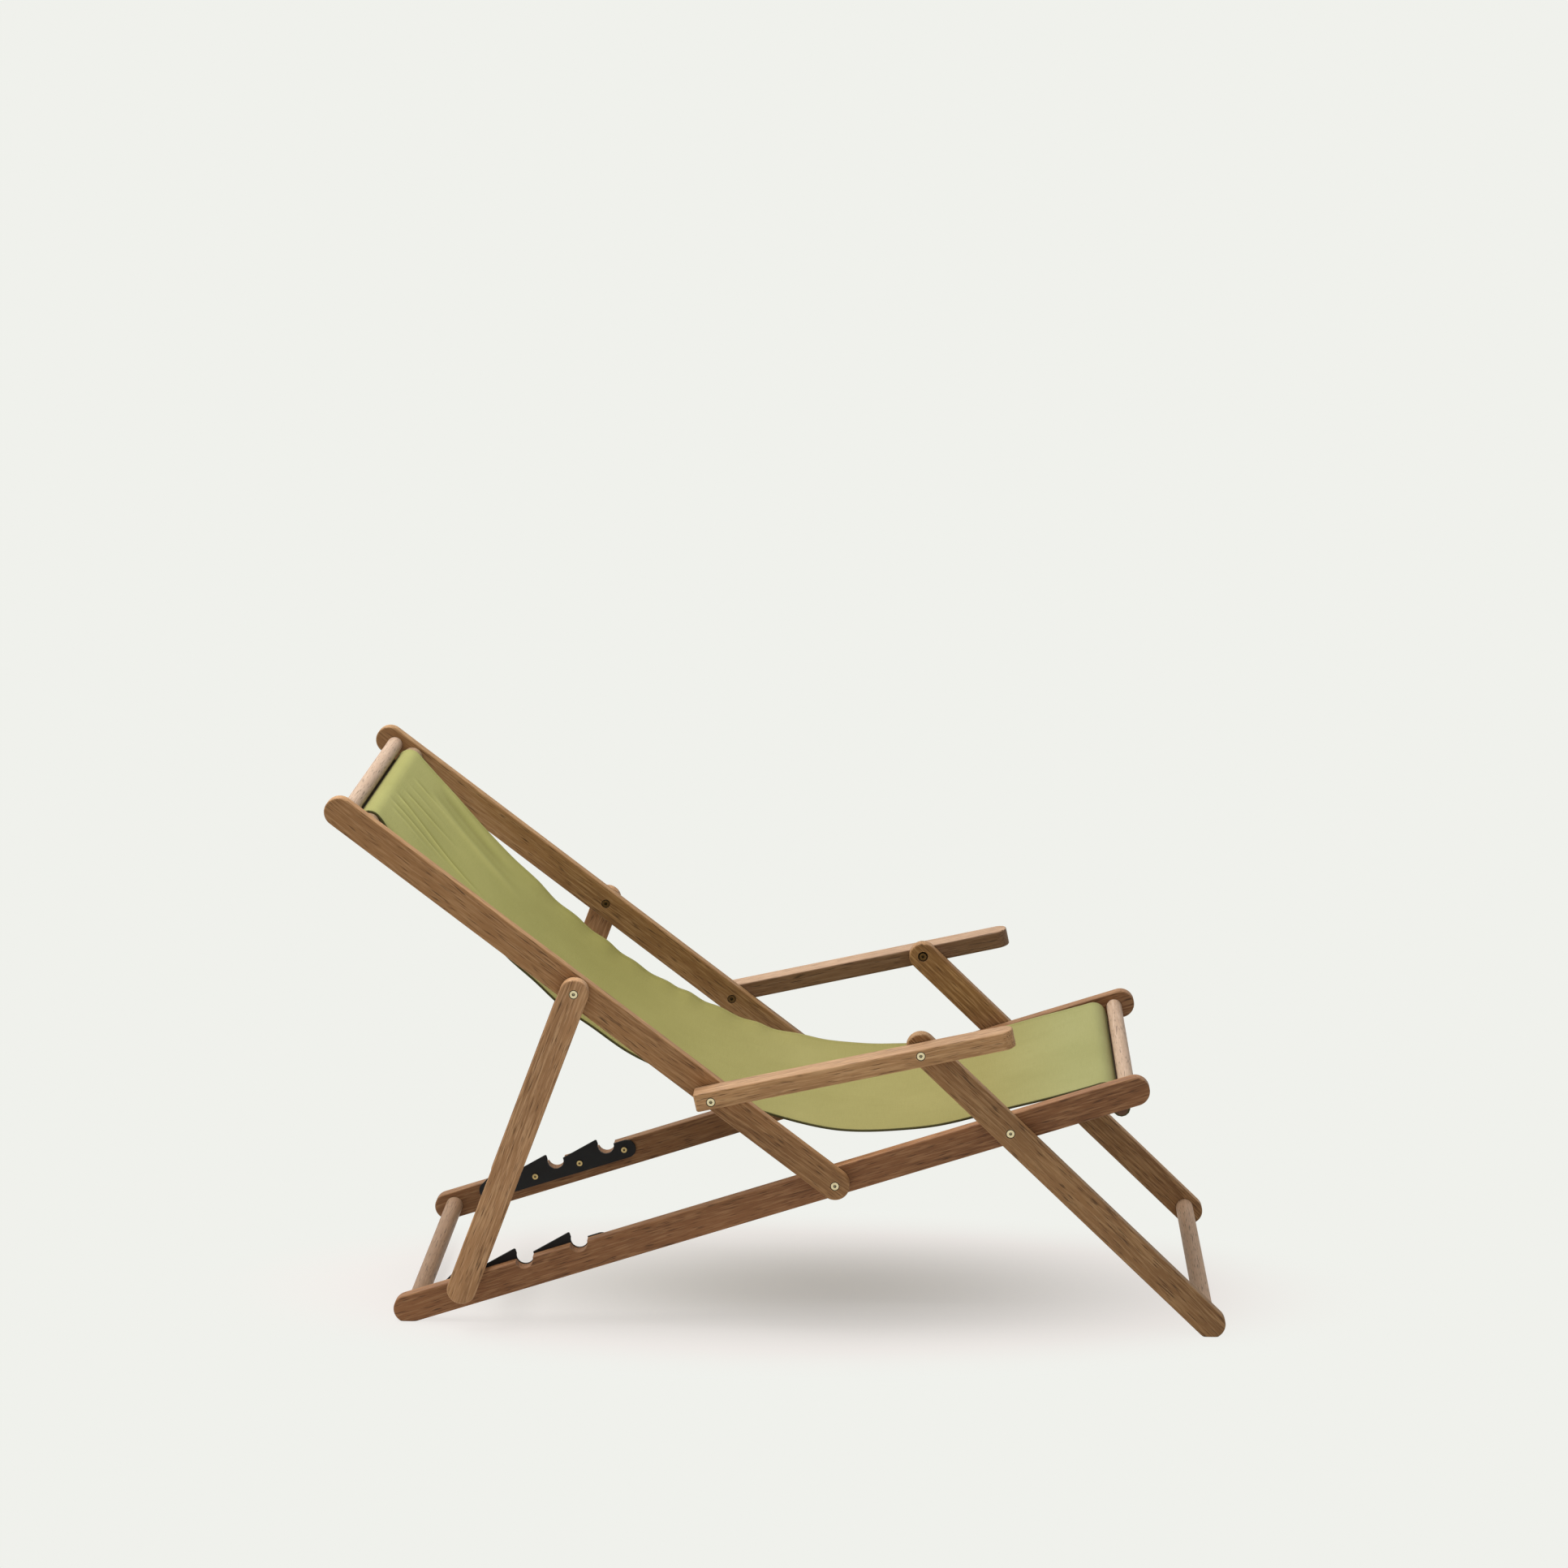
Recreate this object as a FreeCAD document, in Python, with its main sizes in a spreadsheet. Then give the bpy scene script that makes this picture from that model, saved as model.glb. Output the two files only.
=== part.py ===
"""Folding sun lounger with a slung fabric seat.

Two seat rails run from the floor at the back up to the front edge of the seat. The back rails, the front
legs and the armrests hang on them as a four-bar linkage that folds flat, and a prop with a cross bar lies
over a toothed rack to hold the back. +X is the sitter's front, +Y the sitter's left, +Z is up, and the
origin is on the floor in the middle of the lounger. Sizes are in millimetres, angles in degrees.
"""

import FreeCAD
import Part
import Sketcher
import math
import os

Vec = FreeCAD.Vector
ACROSS = FreeCAD.Rotation(Vec(1, 0, 0), 90)
NOTCHES = 3
RACK_SCREWS = 4

SIZES = {
    # wooden members
    "rail_width": 40,
    "rail_thick": 20,
    "edge_round": 2.5,
    "layer_gap": 1,
    "frame_width": 480,
    # seat rails, measured from the back pivot
    "seat_rear": 620,
    "seat_front": 427,
    "seat_link": 250,
    "foot_flat": 3,
    # back rails, measured from the back pivot
    "back_angle": 55.6,
    "back_link": 210,
    "back_prop": 444,
    "back_top": 842,
    # front legs, measured from the leg pivot
    "leg_link": 170,
    "leg_foot": 385,
    # armrests
    "arm_width": 38,
    "arm_thick": 25,
    "arm_rear": 22,
    "arm_front": 127,
    "arm_corner": 17,
    "arm_heel": 5,
    "arm_dip_angle": 1,
    # prop legs and their cross bar
    "prop_tail": 38.5,
    "prop_bar_ahead": 15.5,
    "prop_bar_clear": 2.4,
    "prop_bar_dia": 20,
    # round cross pieces
    "dowel_dia": 22,
    "stretcher_dia": 25,
    "dowel_inset": 10,
    "dowel_seat": 12,
    "sling_dowel_dia": 30,
    "sling_dowel_pitch": 32,
    "sling_dowel_rise": 0.4,
    "seat_hem_dia": 18,
    "seat_hem_drop": 24.5,
    "back_hem_dia": 10,
    "back_hem_drop": 16,
    "hem_rod_stand": 3,
    "fit_gap": 0.05,
    "end_gap": 0.3,
    # toothed rack on the seat rails
    "notch_first": 97.7,
    "notch_pitch": 79,
    "notch_radius": 12,
    "notch_rise": 20.5,
    "notch_clear": 0.6,
    "tooth_rise": 34,
    "tooth_lead": 10.5,
    "ramp_lip": 1.2,
    "tooth_round": 2,
    "plate_thick": 3,
    "plate_half": 13.5,
    "plate_rise": 7,
    "plate_back": 31.2,
    "plate_span": 217.5,
    "rack_screw_inset": 4,
    "rack_screw_dia": 3.5,
    "rack_screw_length": 15,
    "rack_head_dia": 8.5,
    "rack_head_height": 2,
    "rack_socket_circle": 3.8,
    "rack_socket_depth": 1.3,
    # sleeve nuts and bolts at the pivots
    "head_dia": 10.6,
    "head_height": 2.4,
    "head_sink": 0.2,
    "head_clear": 1.1,
    "sleeve_dia": 9,
    "sleeve_short": 0.5,
    "screw_dia": 6,
    "screw_short": 4,
    "run_gap": 0.07,
    "open_gap": 2.3,
    "socket_circle": 4.8,
    "socket_depth": 1.5,
    "washer_dia": 18,
    "washer_play": 0.05,
    # sling
    "sling_side": 8,
    "sling_thick": 2,
    "sling_gap": 0.4,
    "sling_top_angle": -50.7,
    "sling_back_angle": -45,
    "sling_hip_angle": -16.8,
    "sling_knee_angle": 12.1,
    "sling_front_angle": 18.3,
    "sling_back_radius": 816,
    "sling_seat_radius": 468,
    # overrun of the cutting solids past the faces that they cut
    "cut_over": 5,
}

doc = FreeCAD.newDocument("sun_lounger")
sheet = doc.addObject("Spreadsheet::Sheet", "sizes")
for row, (alias, value) in enumerate(SIZES.items(), 1):
    sheet.set(f"A{row}", alias)
    sheet.set(f"B{row}", str(value))
    sheet.setAlias(f"B{row}", alias)
doc.recompute()


def size(alias):
    return float(sheet.get(alias))


def heading(angle):
    """Unit vector in the side view, from +X towards +Z."""
    return Vec(math.cos(math.radians(angle)), 0, math.sin(math.radians(angle)))


def bearing(vector):
    return math.degrees(math.atan2(vector.z, vector.x))


# Side view with the back pivot at the origin and the seat rails level
arm_link = size("seat_link") + size("back_link") - size("leg_link")
level_leg_pivot = Vec(size("seat_link"), 0, 0)
level_arm_rear = heading(180 - size("back_angle")) * size("back_link")
reach = level_leg_pivot - level_arm_rear
along_reach = (arm_link**2 - size("leg_link") ** 2 + reach.Length**2) / (2 * reach.Length)
above_reach = math.sqrt(arm_link**2 - along_reach**2)
reach_angle = bearing(reach)
level_arm_front = (
    level_arm_rear + heading(reach_angle) * along_reach + heading(reach_angle + 90) * above_reach
)
level_leg_angle = bearing(level_arm_front - level_leg_pivot)
level_foot = level_leg_pivot - heading(level_leg_angle) * size("leg_foot")

# The seat rails tilt until their rear ends and the leg ends stand on one floor
seat_angle = bearing(Vec(level_foot.x + size("seat_rear"), 0, -level_foot.z))
back_heading = 180 + seat_angle - size("back_angle")
leg_heading = level_leg_angle + seat_angle
arm_heading = bearing(level_arm_front - level_arm_rear) + seat_angle
along_seat = heading(seat_angle)
along_back = heading(back_heading)
along_leg = heading(leg_heading)

# Pivots and ends in the lounger's frame
half_rail = size("rail_width") / 2
foot_height = half_rail - size("foot_flat")
pivot_height = foot_height + size("seat_rear") * along_seat.z
back_top_x = size("back_top") * along_back.x
leg_end_x = size("seat_link") * along_seat.x - size("leg_foot") * along_leg.x
back_pivot = Vec(-(back_top_x + leg_end_x) / 2, 0, pivot_height)
seat_rear_end = back_pivot - along_seat * size("seat_rear")
leg_pivot = back_pivot + along_seat * size("seat_link")
arm_rear_pivot = back_pivot + along_back * size("back_link")
arm_front_pivot = leg_pivot + along_leg * size("leg_link")
prop_pivot = back_pivot + along_back * size("back_prop")

# The cross bar of the prop lies just over the rack's teeth, ahead of the rearmost notch
bar_along = size("notch_first") + size("prop_bar_ahead")
bar_rise = size("tooth_rise") + size("prop_bar_clear") + size("prop_bar_dia") / 2
bar_point = seat_rear_end + along_seat * bar_along + heading(seat_angle + 90) * bar_rise
prop_heading = bearing(bar_point - prop_pivot)

# Lengths that follow from the driving sizes
sling_width = size("frame_width") - 2 * size("rail_thick") - 2 * size("sling_side")
derived = {
    "arm_link": arm_link,
    "arm_span": arm_link + size("arm_front"),
    "prop_span": (bar_point - prop_pivot).Length + size("prop_tail"),
    "hem_rod_length": sling_width + 2 * size("hem_rod_stand"),
}
for row, (alias, value) in enumerate(derived.items(), len(SIZES) + 1):
    sheet.set(f"A{row}", alias)
    sheet.set(f"B{row}", str(value))
    sheet.setAlias(f"B{row}", alias)
doc.recompute()

# Faces of the three layers of members, from the middle plane outwards
seat_out = size("frame_width") / 2
seat_in = seat_out - size("rail_thick")
mid_in = seat_out + size("layer_gap")
mid_out = mid_in + size("rail_thick")
outer_in = mid_out + size("layer_gap")
prop_out = outer_in + size("rail_thick")
arm_out = outer_in + size("arm_width")

nodes = []


def node(obj, label):
    obj.Label = label
    nodes.append(obj)
    return obj


def mirrored(obj, label):
    copy = doc.addObject("Part::Mirroring", label)
    copy.Source = obj
    copy.Normal = Vec(0, 1, 0)
    return copy


def pair(obj, label):
    """One node that holds the right-hand piece and its mirror image."""
    both = doc.addObject("Part::Compound", label)
    both.Links = [obj, mirrored(obj, label + "_left")]
    return node(both, label)


def sided(obj, label):
    """Two nodes, the right-hand piece and its mirror image."""
    node(obj, label + "_right")
    node(mirrored(obj, label + "_left"), label + "_left")


def across(name, point, start, height, radius):
    """Cylinder that runs outwards on the right-hand side from the distance start off the middle plane."""
    rod = doc.addObject("Part::Cylinder", name)
    rod.setExpression("Height", height)
    rod.setExpression("Radius", radius)
    rod.Placement = FreeCAD.Placement(Vec(point.x, -start, point.z), ACROSS)
    return rod


def cut(base, tools, label):
    tool = tools[0]
    if len(tools) > 1:
        tool = doc.addObject("Part::MultiFuse", label + "_tools")
        tool.Shapes = tools
    result = doc.addObject("Part::Cut", label)
    result.Base = base
    result.Tool = tool
    return result


def role_plane(body, role):
    return next(f for f in body.Origin.OriginFeatures if f.Role == role)


def new_sketch(body, name, role="XY_Plane"):
    sketch = body.newObject("Sketcher::SketchObject", name)
    sketch.AttachmentSupport = [(role_plane(body, role), "")]
    sketch.MapMode = "FlatFace"
    return sketch


def bind(sketch, constraint, expression):
    """Adds a sizing constraint and ties it to the sheet."""
    index = sketch.addConstraint(constraint)
    name = f"size_{index}"
    sketch.renameConstraint(index, name)
    sketch.setExpression(f"Constraints.{name}", expression)


def slot_sketch(body, name, span, half_width, rise="0"):
    """Outline with two round ends; the first round is centred on the sketch's Y axis."""
    length = 100
    radius = 10
    up = Vec(0, 0, 1)
    sketch = new_sketch(body, name)
    sketch.addGeometry(
        [
            Part.ArcOfCircle(Part.Circle(Vec(), up, radius), math.pi / 2, 3 * math.pi / 2),
            Part.LineSegment(Vec(0, -radius, 0), Vec(length, -radius, 0)),
            Part.ArcOfCircle(Part.Circle(Vec(length, 0, 0), up, radius), -math.pi / 2, math.pi / 2),
            Part.LineSegment(Vec(length, radius, 0), Vec(0, radius, 0)),
        ]
    )
    con = Sketcher.Constraint
    for first, second in ((0, 1), (1, 2), (2, 3), (3, 0)):
        sketch.addConstraint(con("Tangent", first, 2, second, 1))
    sketch.addConstraint(con("Equal", 0, 2))
    sketch.addConstraint(con("Horizontal", 1))
    sketch.addConstraint(con("PointOnObject", 0, 3, -2))
    bind(sketch, con("DistanceY", -1, 1, 0, 3, 1.0), rise)
    bind(sketch, con("DistanceX", 0, 3, 2, 3, length), span)
    bind(sketch, con("Radius", 0, radius), half_width)
    return sketch


def polygon_sketch(body, name, points, role="XY_Plane"):
    """Closed outline through points given as pairs of sheet expressions."""
    con = Sketcher.Constraint
    guess = [Vec(math.cos(i), math.sin(i), 0) * 10 for i in range(len(points))]
    sketch = new_sketch(body, name, role)
    last = len(points) - 1
    for i in range(len(points)):
        sketch.addGeometry(Part.LineSegment(guess[i], guess[(i + 1) % len(points)]))
    for i in range(len(points)):
        sketch.addConstraint(con("Coincident", i, 2, 0 if i == last else i + 1, 1))
    for i, (x, y) in enumerate(points):
        bind(sketch, con("DistanceX", -1, 1, i, 1, guess[i].x), x)
        bind(sketch, con("DistanceY", -1, 1, i, 1, guess[i].y), y)
    return sketch


def pad(body, sketch, name, length, symmetric=False):
    feature = body.newObject("PartDesign::Pad", name)
    feature.Profile = sketch
    feature.setExpression("Length", length)
    if symmetric:
        feature.SideType = "Symmetric"
    doc.recompute()
    return feature


def round_edges(body, feature, name, radius, chosen):
    """Rounds the edges of a feature that the test chosen picks."""
    edges = feature.Shape.Edges
    names = [f"Edge{i}" for i, edge in enumerate(edges, 1) if chosen(edge)]
    fillet = body.newObject("PartDesign::Fillet", name)
    fillet.Base = (feature, names)
    fillet.setExpression("Radius", radius)
    doc.recompute()
    return fillet


def is_flat_edge(edge):
    """True for an edge that lies in a face square to the body's own Z axis."""
    box = edge.BoundBox
    return box.ZLength < 0.01


def member(name, start, angle, inner, span):
    """Wooden member with round ends on the right-hand side; start is the centre of its first round."""
    body = doc.addObject("PartDesign::Body", name + "_body")
    sketch = slot_sketch(body, name + "_outline", span, "sizes.rail_width / 2")
    block = pad(body, sketch, name + "_block", "sizes.rail_thick")
    round_edges(body, block, name + "_rounding", "sizes.edge_round", is_flat_edge)
    tilt = FreeCAD.Rotation(Vec(0, -1, 0), angle)
    body.Placement = FreeCAD.Placement(Vec(start.x, -inner, start.z), tilt * ACROSS)
    return body


# Cutting solids for pivots and sockets

over = size("cut_over")
head_depth = size("head_sink") + size("head_height") + size("fit_gap")
HEAD_DEPTH = "sizes.head_sink + sizes.head_height + sizes.fit_gap"


def pin_hole(name, point, face, thick="sizes.rail_thick", play="sizes.run_gap"):
    height = f"{thick} + 2 * sizes.cut_over"
    return across(name, point, face - over, height, f"sizes.sleeve_dia / 2 + {play}")


def inner_sink(name, point, face, play="sizes.head_clear"):
    """Counterbore from the inner face of a member."""
    return across(name, point, face - over, f"sizes.cut_over + {HEAD_DEPTH}", f"sizes.head_dia / 2 + {play}")


def outer_sink(name, point, face):
    """Counterbore from the outer face of a member."""
    height = f"sizes.cut_over + {HEAD_DEPTH}"
    return across(name, point, face - head_depth, height, "sizes.head_dia / 2 + sizes.head_clear")


def dowel_socket(name, point, face, diameter):
    """Blind hole for the end of a cross piece."""
    height = "sizes.cut_over + sizes.dowel_seat + sizes.end_gap"
    return across(name, point, face - over, height, f"sizes.{diameter} / 2 + sizes.fit_gap")


def cross_piece(label, point, face, width, diameter):
    """Round bar from one blind hole to the other; width is the distance between the two inner faces."""
    start = -(face + size("dowel_seat"))
    height = f"{width} + 2 * sizes.dowel_seat"
    return node(across(label, point, start, height, f"sizes.{diameter} / 2"), label)


# Places of the cross pieces

face_seat = heading(seat_angle + 90)
face_back = heading(back_heading - 90)
front_point = back_pivot + along_seat * (size("seat_front") - size("dowel_inset"))
rear_point = seat_rear_end + along_seat * size("dowel_inset")
top_point = back_pivot + along_back * (size("back_top") - size("dowel_inset"))
foot_point = leg_pivot - along_leg * (size("leg_foot") - size("dowel_inset"))
dowel_step = size("sling_dowel_pitch")
seat_sling_point = front_point - along_seat * dowel_step + face_seat * size("sling_dowel_rise")
back_sling_point = top_point - along_back * dowel_step + face_back * size("sling_dowel_rise")

SEAT_WIDTH = "sizes.frame_width - 2 * sizes.rail_thick"
MID_WIDTH = "sizes.frame_width + 2 * sizes.layer_gap"
OUTER_WIDTH = "sizes.frame_width + 4 * sizes.layer_gap + 2 * sizes.rail_thick"

floor = doc.addObject("Part::Box", "floor")
floor.setExpression("Length", "4 * sizes.seat_rear")
floor.setExpression("Width", "2 * sizes.frame_width")
floor.setExpression("Height", "sizes.rail_width")
floor.Placement.Base = Vec(-2 * size("seat_rear"), -size("frame_width"), -size("rail_width"))

# Seat rails with their rack notches

notch_points = []
for i in range(NOTCHES):
    along = size("notch_first") + i * size("notch_pitch")
    notch_points.append(seat_rear_end + along_seat * along + face_seat * size("notch_rise"))
plate_origin = seat_rear_end + along_seat * (size("notch_first") - size("plate_back"))
screw_points = []
for i in range(RACK_SCREWS):
    pitch = (size("plate_span") - 2 * size("rack_screw_inset")) / (RACK_SCREWS - 1)
    along = size("rack_screw_inset") + i * pitch
    screw_points.append(plate_origin + along_seat * along + face_seat * size("plate_rise"))

seat_tools = [
    pin_hole("seat_back_hole", back_pivot, seat_in),
    inner_sink("seat_back_sink", back_pivot, seat_in),
    pin_hole("seat_leg_hole", leg_pivot, seat_in),
    inner_sink("seat_leg_sink", leg_pivot, seat_in),
    dowel_socket("seat_front_socket", front_point, seat_in, "dowel_dia"),
    dowel_socket("seat_rear_socket", rear_point, seat_in, "stretcher_dia"),
    dowel_socket("seat_sling_socket", seat_sling_point, seat_in, "sling_dowel_dia"),
    floor,
]
for i, point in enumerate(notch_points):
    height = "sizes.rail_thick + 2 * sizes.cut_over"
    radius = "sizes.notch_radius + sizes.notch_clear"
    seat_tools.append(across(f"seat_notch_{i}", point, seat_in - over, height, radius))
for i, point in enumerate(screw_points):
    height = "sizes.cut_over + sizes.rack_screw_length"
    radius = "sizes.rack_screw_dia / 2 + sizes.fit_gap"
    seat_tools.append(across(f"seat_pilot_{i}", point, seat_in - over, height, radius))
seat_body = member("seat_rail", seat_rear_end, seat_angle, seat_in, "sizes.seat_rear + sizes.seat_front")
sided(cut(seat_body, seat_tools, "seat_rail_right"), "seat_rail")

# Back rails

back_tools = [
    pin_hole("back_seat_hole", back_pivot, mid_in),
    outer_sink("back_seat_sink", back_pivot, mid_out),
    pin_hole("back_arm_hole", arm_rear_pivot, mid_in),
    inner_sink("back_arm_sink", arm_rear_pivot, mid_in),
    pin_hole("back_prop_hole", prop_pivot, mid_in),
    inner_sink("back_prop_sink", prop_pivot, mid_in),
    dowel_socket("back_top_socket", top_point, mid_in, "dowel_dia"),
    dowel_socket("back_sling_socket", back_sling_point, mid_in, "sling_dowel_dia"),
]
back_body = member("back_rail", back_pivot, back_heading, mid_in, "sizes.back_top")
sided(cut(back_body, back_tools, "back_rail_right"), "back_rail")

# Front legs; the armrest bolt passes a wide hole there, because that pivot closes the linkage

leg_tools = [
    pin_hole("leg_seat_hole", leg_pivot, mid_in),
    outer_sink("leg_seat_sink", leg_pivot, mid_out),
    pin_hole("leg_arm_hole", arm_front_pivot, mid_in, play="sizes.open_gap"),
    inner_sink("leg_arm_sink", arm_front_pivot, mid_in, play="sizes.open_gap"),
    dowel_socket("leg_foot_socket", foot_point, mid_in, "stretcher_dia"),
    floor,
]
leg_end = leg_pivot - along_leg * size("leg_foot")
leg_body = member("front_leg", leg_end, leg_heading, mid_in, "sizes.leg_foot + sizes.leg_link")
sided(cut(leg_body, leg_tools, "front_leg_right"), "front_leg")

# Prop legs

prop_tools = [
    pin_hole("prop_back_hole", prop_pivot, outer_in),
    outer_sink("prop_back_sink", prop_pivot, prop_out),
    dowel_socket("prop_bar_socket", bar_point, outer_in, "prop_bar_dia"),
]
prop_body = member("prop_leg", prop_pivot, prop_heading, outer_in, "sizes.prop_span")
sided(cut(prop_body, prop_tools, "prop_leg_right"), "prop_leg")

# Armrests, flat boards with round corners

arm_body = doc.addObject("PartDesign::Body", "armrest_body")
arm_outline = polygon_sketch(
    arm_body,
    "armrest_outline",
    [
        ("-sizes.arm_rear", "0"),
        ("-sizes.arm_rear", "-sizes.arm_width"),
        ("sizes.arm_span", "-sizes.arm_width"),
        ("sizes.arm_span", "0"),
    ],
)
arm_block = pad(arm_body, arm_outline, "armrest_block", "sizes.arm_thick", symmetric=True)


def is_upright(edge):
    return edge.BoundBox.ZLength > 1 and edge.BoundBox.XLength < 0.01 and edge.BoundBox.YLength < 0.01


def is_front_corner(edge):
    return is_upright(edge) and edge.BoundBox.XMax > size("arm_link")


def is_rear_corner(edge):
    return is_upright(edge) and edge.BoundBox.XMax < 0 and edge.BoundBox.XMax < 0.01 - size("arm_rear")


arm_nose = round_edges(arm_body, arm_block, "armrest_nose", "sizes.arm_corner", is_front_corner)
arm_heel = round_edges(arm_body, arm_nose, "armrest_heel", "sizes.arm_heel", is_rear_corner)
round_edges(arm_body, arm_heel, "armrest_rounding", "sizes.edge_round", is_flat_edge)
# The armrest dips a little against the line of its two pivots, about a point between them
dip_heading = arm_heading - size("arm_dip_angle")
arm_tilt = FreeCAD.Rotation(Vec(0, -1, 0), dip_heading)
arm_start = arm_rear_pivot + (heading(arm_heading) - heading(dip_heading)) * (0.4 * arm_link)
arm_body.Placement = FreeCAD.Placement(Vec(arm_start.x, -outer_in, arm_start.z), arm_tilt)
arm_tools = [
    pin_hole("arm_back_hole", arm_rear_pivot, outer_in, "sizes.arm_width"),
    outer_sink("arm_back_sink", arm_rear_pivot, arm_out),
    pin_hole("arm_leg_hole", arm_front_pivot, outer_in, "sizes.arm_width"),
    outer_sink("arm_leg_sink", arm_front_pivot, arm_out),
]
sided(cut(arm_body, arm_tools, "armrest_right"), "armrest")

# Cross pieces

cross_piece("front_dowel", front_point, seat_in, SEAT_WIDTH, "dowel_dia")
cross_piece("rear_dowel", rear_point, seat_in, SEAT_WIDTH, "stretcher_dia")
cross_piece("seat_sling_dowel", seat_sling_point, seat_in, SEAT_WIDTH, "sling_dowel_dia")
cross_piece("top_dowel", top_point, mid_in, MID_WIDTH, "dowel_dia")
cross_piece("back_sling_dowel", back_sling_point, mid_in, MID_WIDTH, "sling_dowel_dia")
cross_piece("foot_dowel", foot_point, mid_in, MID_WIDTH, "stretcher_dia")
cross_piece("prop_bar", bar_point, outer_in, OUTER_WIDTH, "prop_bar_dia")

# Rack plates on the inner faces of the seat rails

plate_body = doc.addObject("PartDesign::Body", "rack_plate_body")
plate_x = role_plane(plate_body, "X_Axis")


def pattern(feature, name, length, count):
    row = plate_body.newObject("PartDesign::LinearPattern", name)
    row.Originals = [feature]
    row.Direction = (plate_x, [""])
    row.setExpression("Length", length)
    row.Occurrences = count
    plate_body.Tip = row
    doc.recompute()
    return row


def plate_hole(name, x, y, radius):
    sketch = new_sketch(plate_body, name + "_outline")
    sketch.addGeometry(Part.Circle(Vec(10, 10, 0), Vec(0, 0, 1), 5))
    bind(sketch, Sketcher.Constraint("DistanceX", -1, 1, 0, 3, 10), x)
    bind(sketch, Sketcher.Constraint("DistanceY", -1, 1, 0, 3, 10), y)
    bind(sketch, Sketcher.Constraint("Radius", 0, 5), radius)
    hole = plate_body.newObject("PartDesign::Pocket", name)
    hole.Profile = sketch
    hole.Type = 1
    hole.Reversed = True
    doc.recompute()
    return hole


plate_strip = slot_sketch(
    plate_body, "plate_strip_outline", "sizes.plate_span", "sizes.plate_half", "sizes.plate_rise"
)
pad(plate_body, plate_strip, "plate_strip", "sizes.plate_thick")
HEEL_TIP = "sizes.plate_back - sizes.tooth_lead"
heel_outline = polygon_sketch(
    plate_body,
    "plate_heel_outline",
    [
        (HEEL_TIP, "sizes.tooth_rise"),
        ("-0.5 * sizes.plate_half", "sizes.plate_rise + 0.85 * sizes.plate_half"),
        ("-0.5 * sizes.plate_half", "sizes.plate_rise"),
        (HEEL_TIP, "sizes.plate_rise"),
    ],
)
pad(plate_body, heel_outline, "plate_heel", "sizes.plate_thick")
RAMP_TIP = "sizes.plate_back + sizes.notch_pitch - sizes.tooth_lead"
RAMP_FOOT = "sizes.plate_back + sizes.notch_radius"
ramp_outline = polygon_sketch(
    plate_body,
    "plate_ramp_outline",
    [
        (RAMP_TIP, "sizes.tooth_rise"),
        (RAMP_FOOT, "sizes.plate_rise + sizes.plate_half + sizes.ramp_lip"),
        (RAMP_FOOT, "sizes.plate_rise"),
        (RAMP_TIP, "sizes.plate_rise"),
    ],
)
plate_ramp = pad(plate_body, ramp_outline, "plate_ramp", "sizes.plate_thick")
pattern(plate_ramp, "plate_ramps", f"sizes.notch_pitch * {NOTCHES - 2}", NOTCHES - 1)
plate_notch = plate_hole("plate_notch", "sizes.plate_back", "sizes.notch_rise", "sizes.notch_radius")
pattern(plate_notch, "plate_notches", f"sizes.notch_pitch * {NOTCHES - 1}", NOTCHES)
SCREW_PLAY = "sizes.rack_screw_dia / 2 + sizes.fit_gap"
SCREW_SPAN = "sizes.plate_span - 2 * sizes.rack_screw_inset"
plate_screw = plate_hole("plate_screw_hole", "sizes.rack_screw_inset", "sizes.plate_rise", SCREW_PLAY)
plate_holes = pattern(plate_screw, "plate_screw_holes", SCREW_SPAN, RACK_SCREWS)


def is_tooth_tip(edge):
    box = edge.BoundBox
    return box.ZLength > 0.5 * size("plate_thick") and box.YMin > size("tooth_rise") - 0.01


round_edges(plate_body, plate_holes, "plate_tip_rounding", "sizes.tooth_round", is_tooth_tip)
plate_inner = seat_in - size("plate_thick")
plate_tilt = FreeCAD.Rotation(Vec(0, -1, 0), seat_angle)
plate_body.Placement = FreeCAD.Placement(
    Vec(plate_origin.x, -plate_inner, plate_origin.z), plate_tilt * ACROSS
)
sided(plate_body, "rack_plate")

# Rack screws, a pan head with a key socket and a shank in the rail


def socket(name, point, start, circle="sizes.socket_circle", depth="sizes.socket_depth"):
    """Six-sided key socket."""
    key = doc.addObject("Part::Prism", name)
    key.Polygon = 6
    key.setExpression("Circumradius", f"{circle} / 2")
    key.setExpression("Height", depth)
    key.Placement = FreeCAD.Placement(Vec(point.x, -start, point.z), ACROSS)
    return key


screws = []
for i, point in enumerate(screw_points):
    start = plate_inner - size("rack_head_height")
    head = across(f"rack_head_{i}", point, start, "sizes.rack_head_height", "sizes.rack_head_dia / 2")
    length = "sizes.plate_thick + sizes.rack_screw_length - sizes.end_gap"
    shank = across(f"rack_shank_{i}", point, plate_inner, length, "sizes.rack_screw_dia / 2")
    blank = doc.addObject("Part::MultiFuse", f"rack_screw_blank_{i}")
    blank.Shapes = [head, shank]
    key = socket(f"rack_key_{i}", point, start, "sizes.rack_socket_circle", "sizes.rack_socket_depth")
    screws.append(cut(blank, [key], f"rack_screw_{i}"))
screw_row = doc.addObject("Part::Compound", "rack_screws_right")
screw_row.Links = screws
sided(screw_row, "rack_screws")

# Pivot hardware, a sleeve nut from the inner face and a bolt from the outer face

sink = size("head_sink")
head_height = size("head_height")
SINKS = "2 * sizes.head_sink"
RAIL_STACK = "2 * sizes.rail_thick + sizes.layer_gap"
ARM_STACK = "sizes.rail_thick + sizes.layer_gap + sizes.arm_width"


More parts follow.
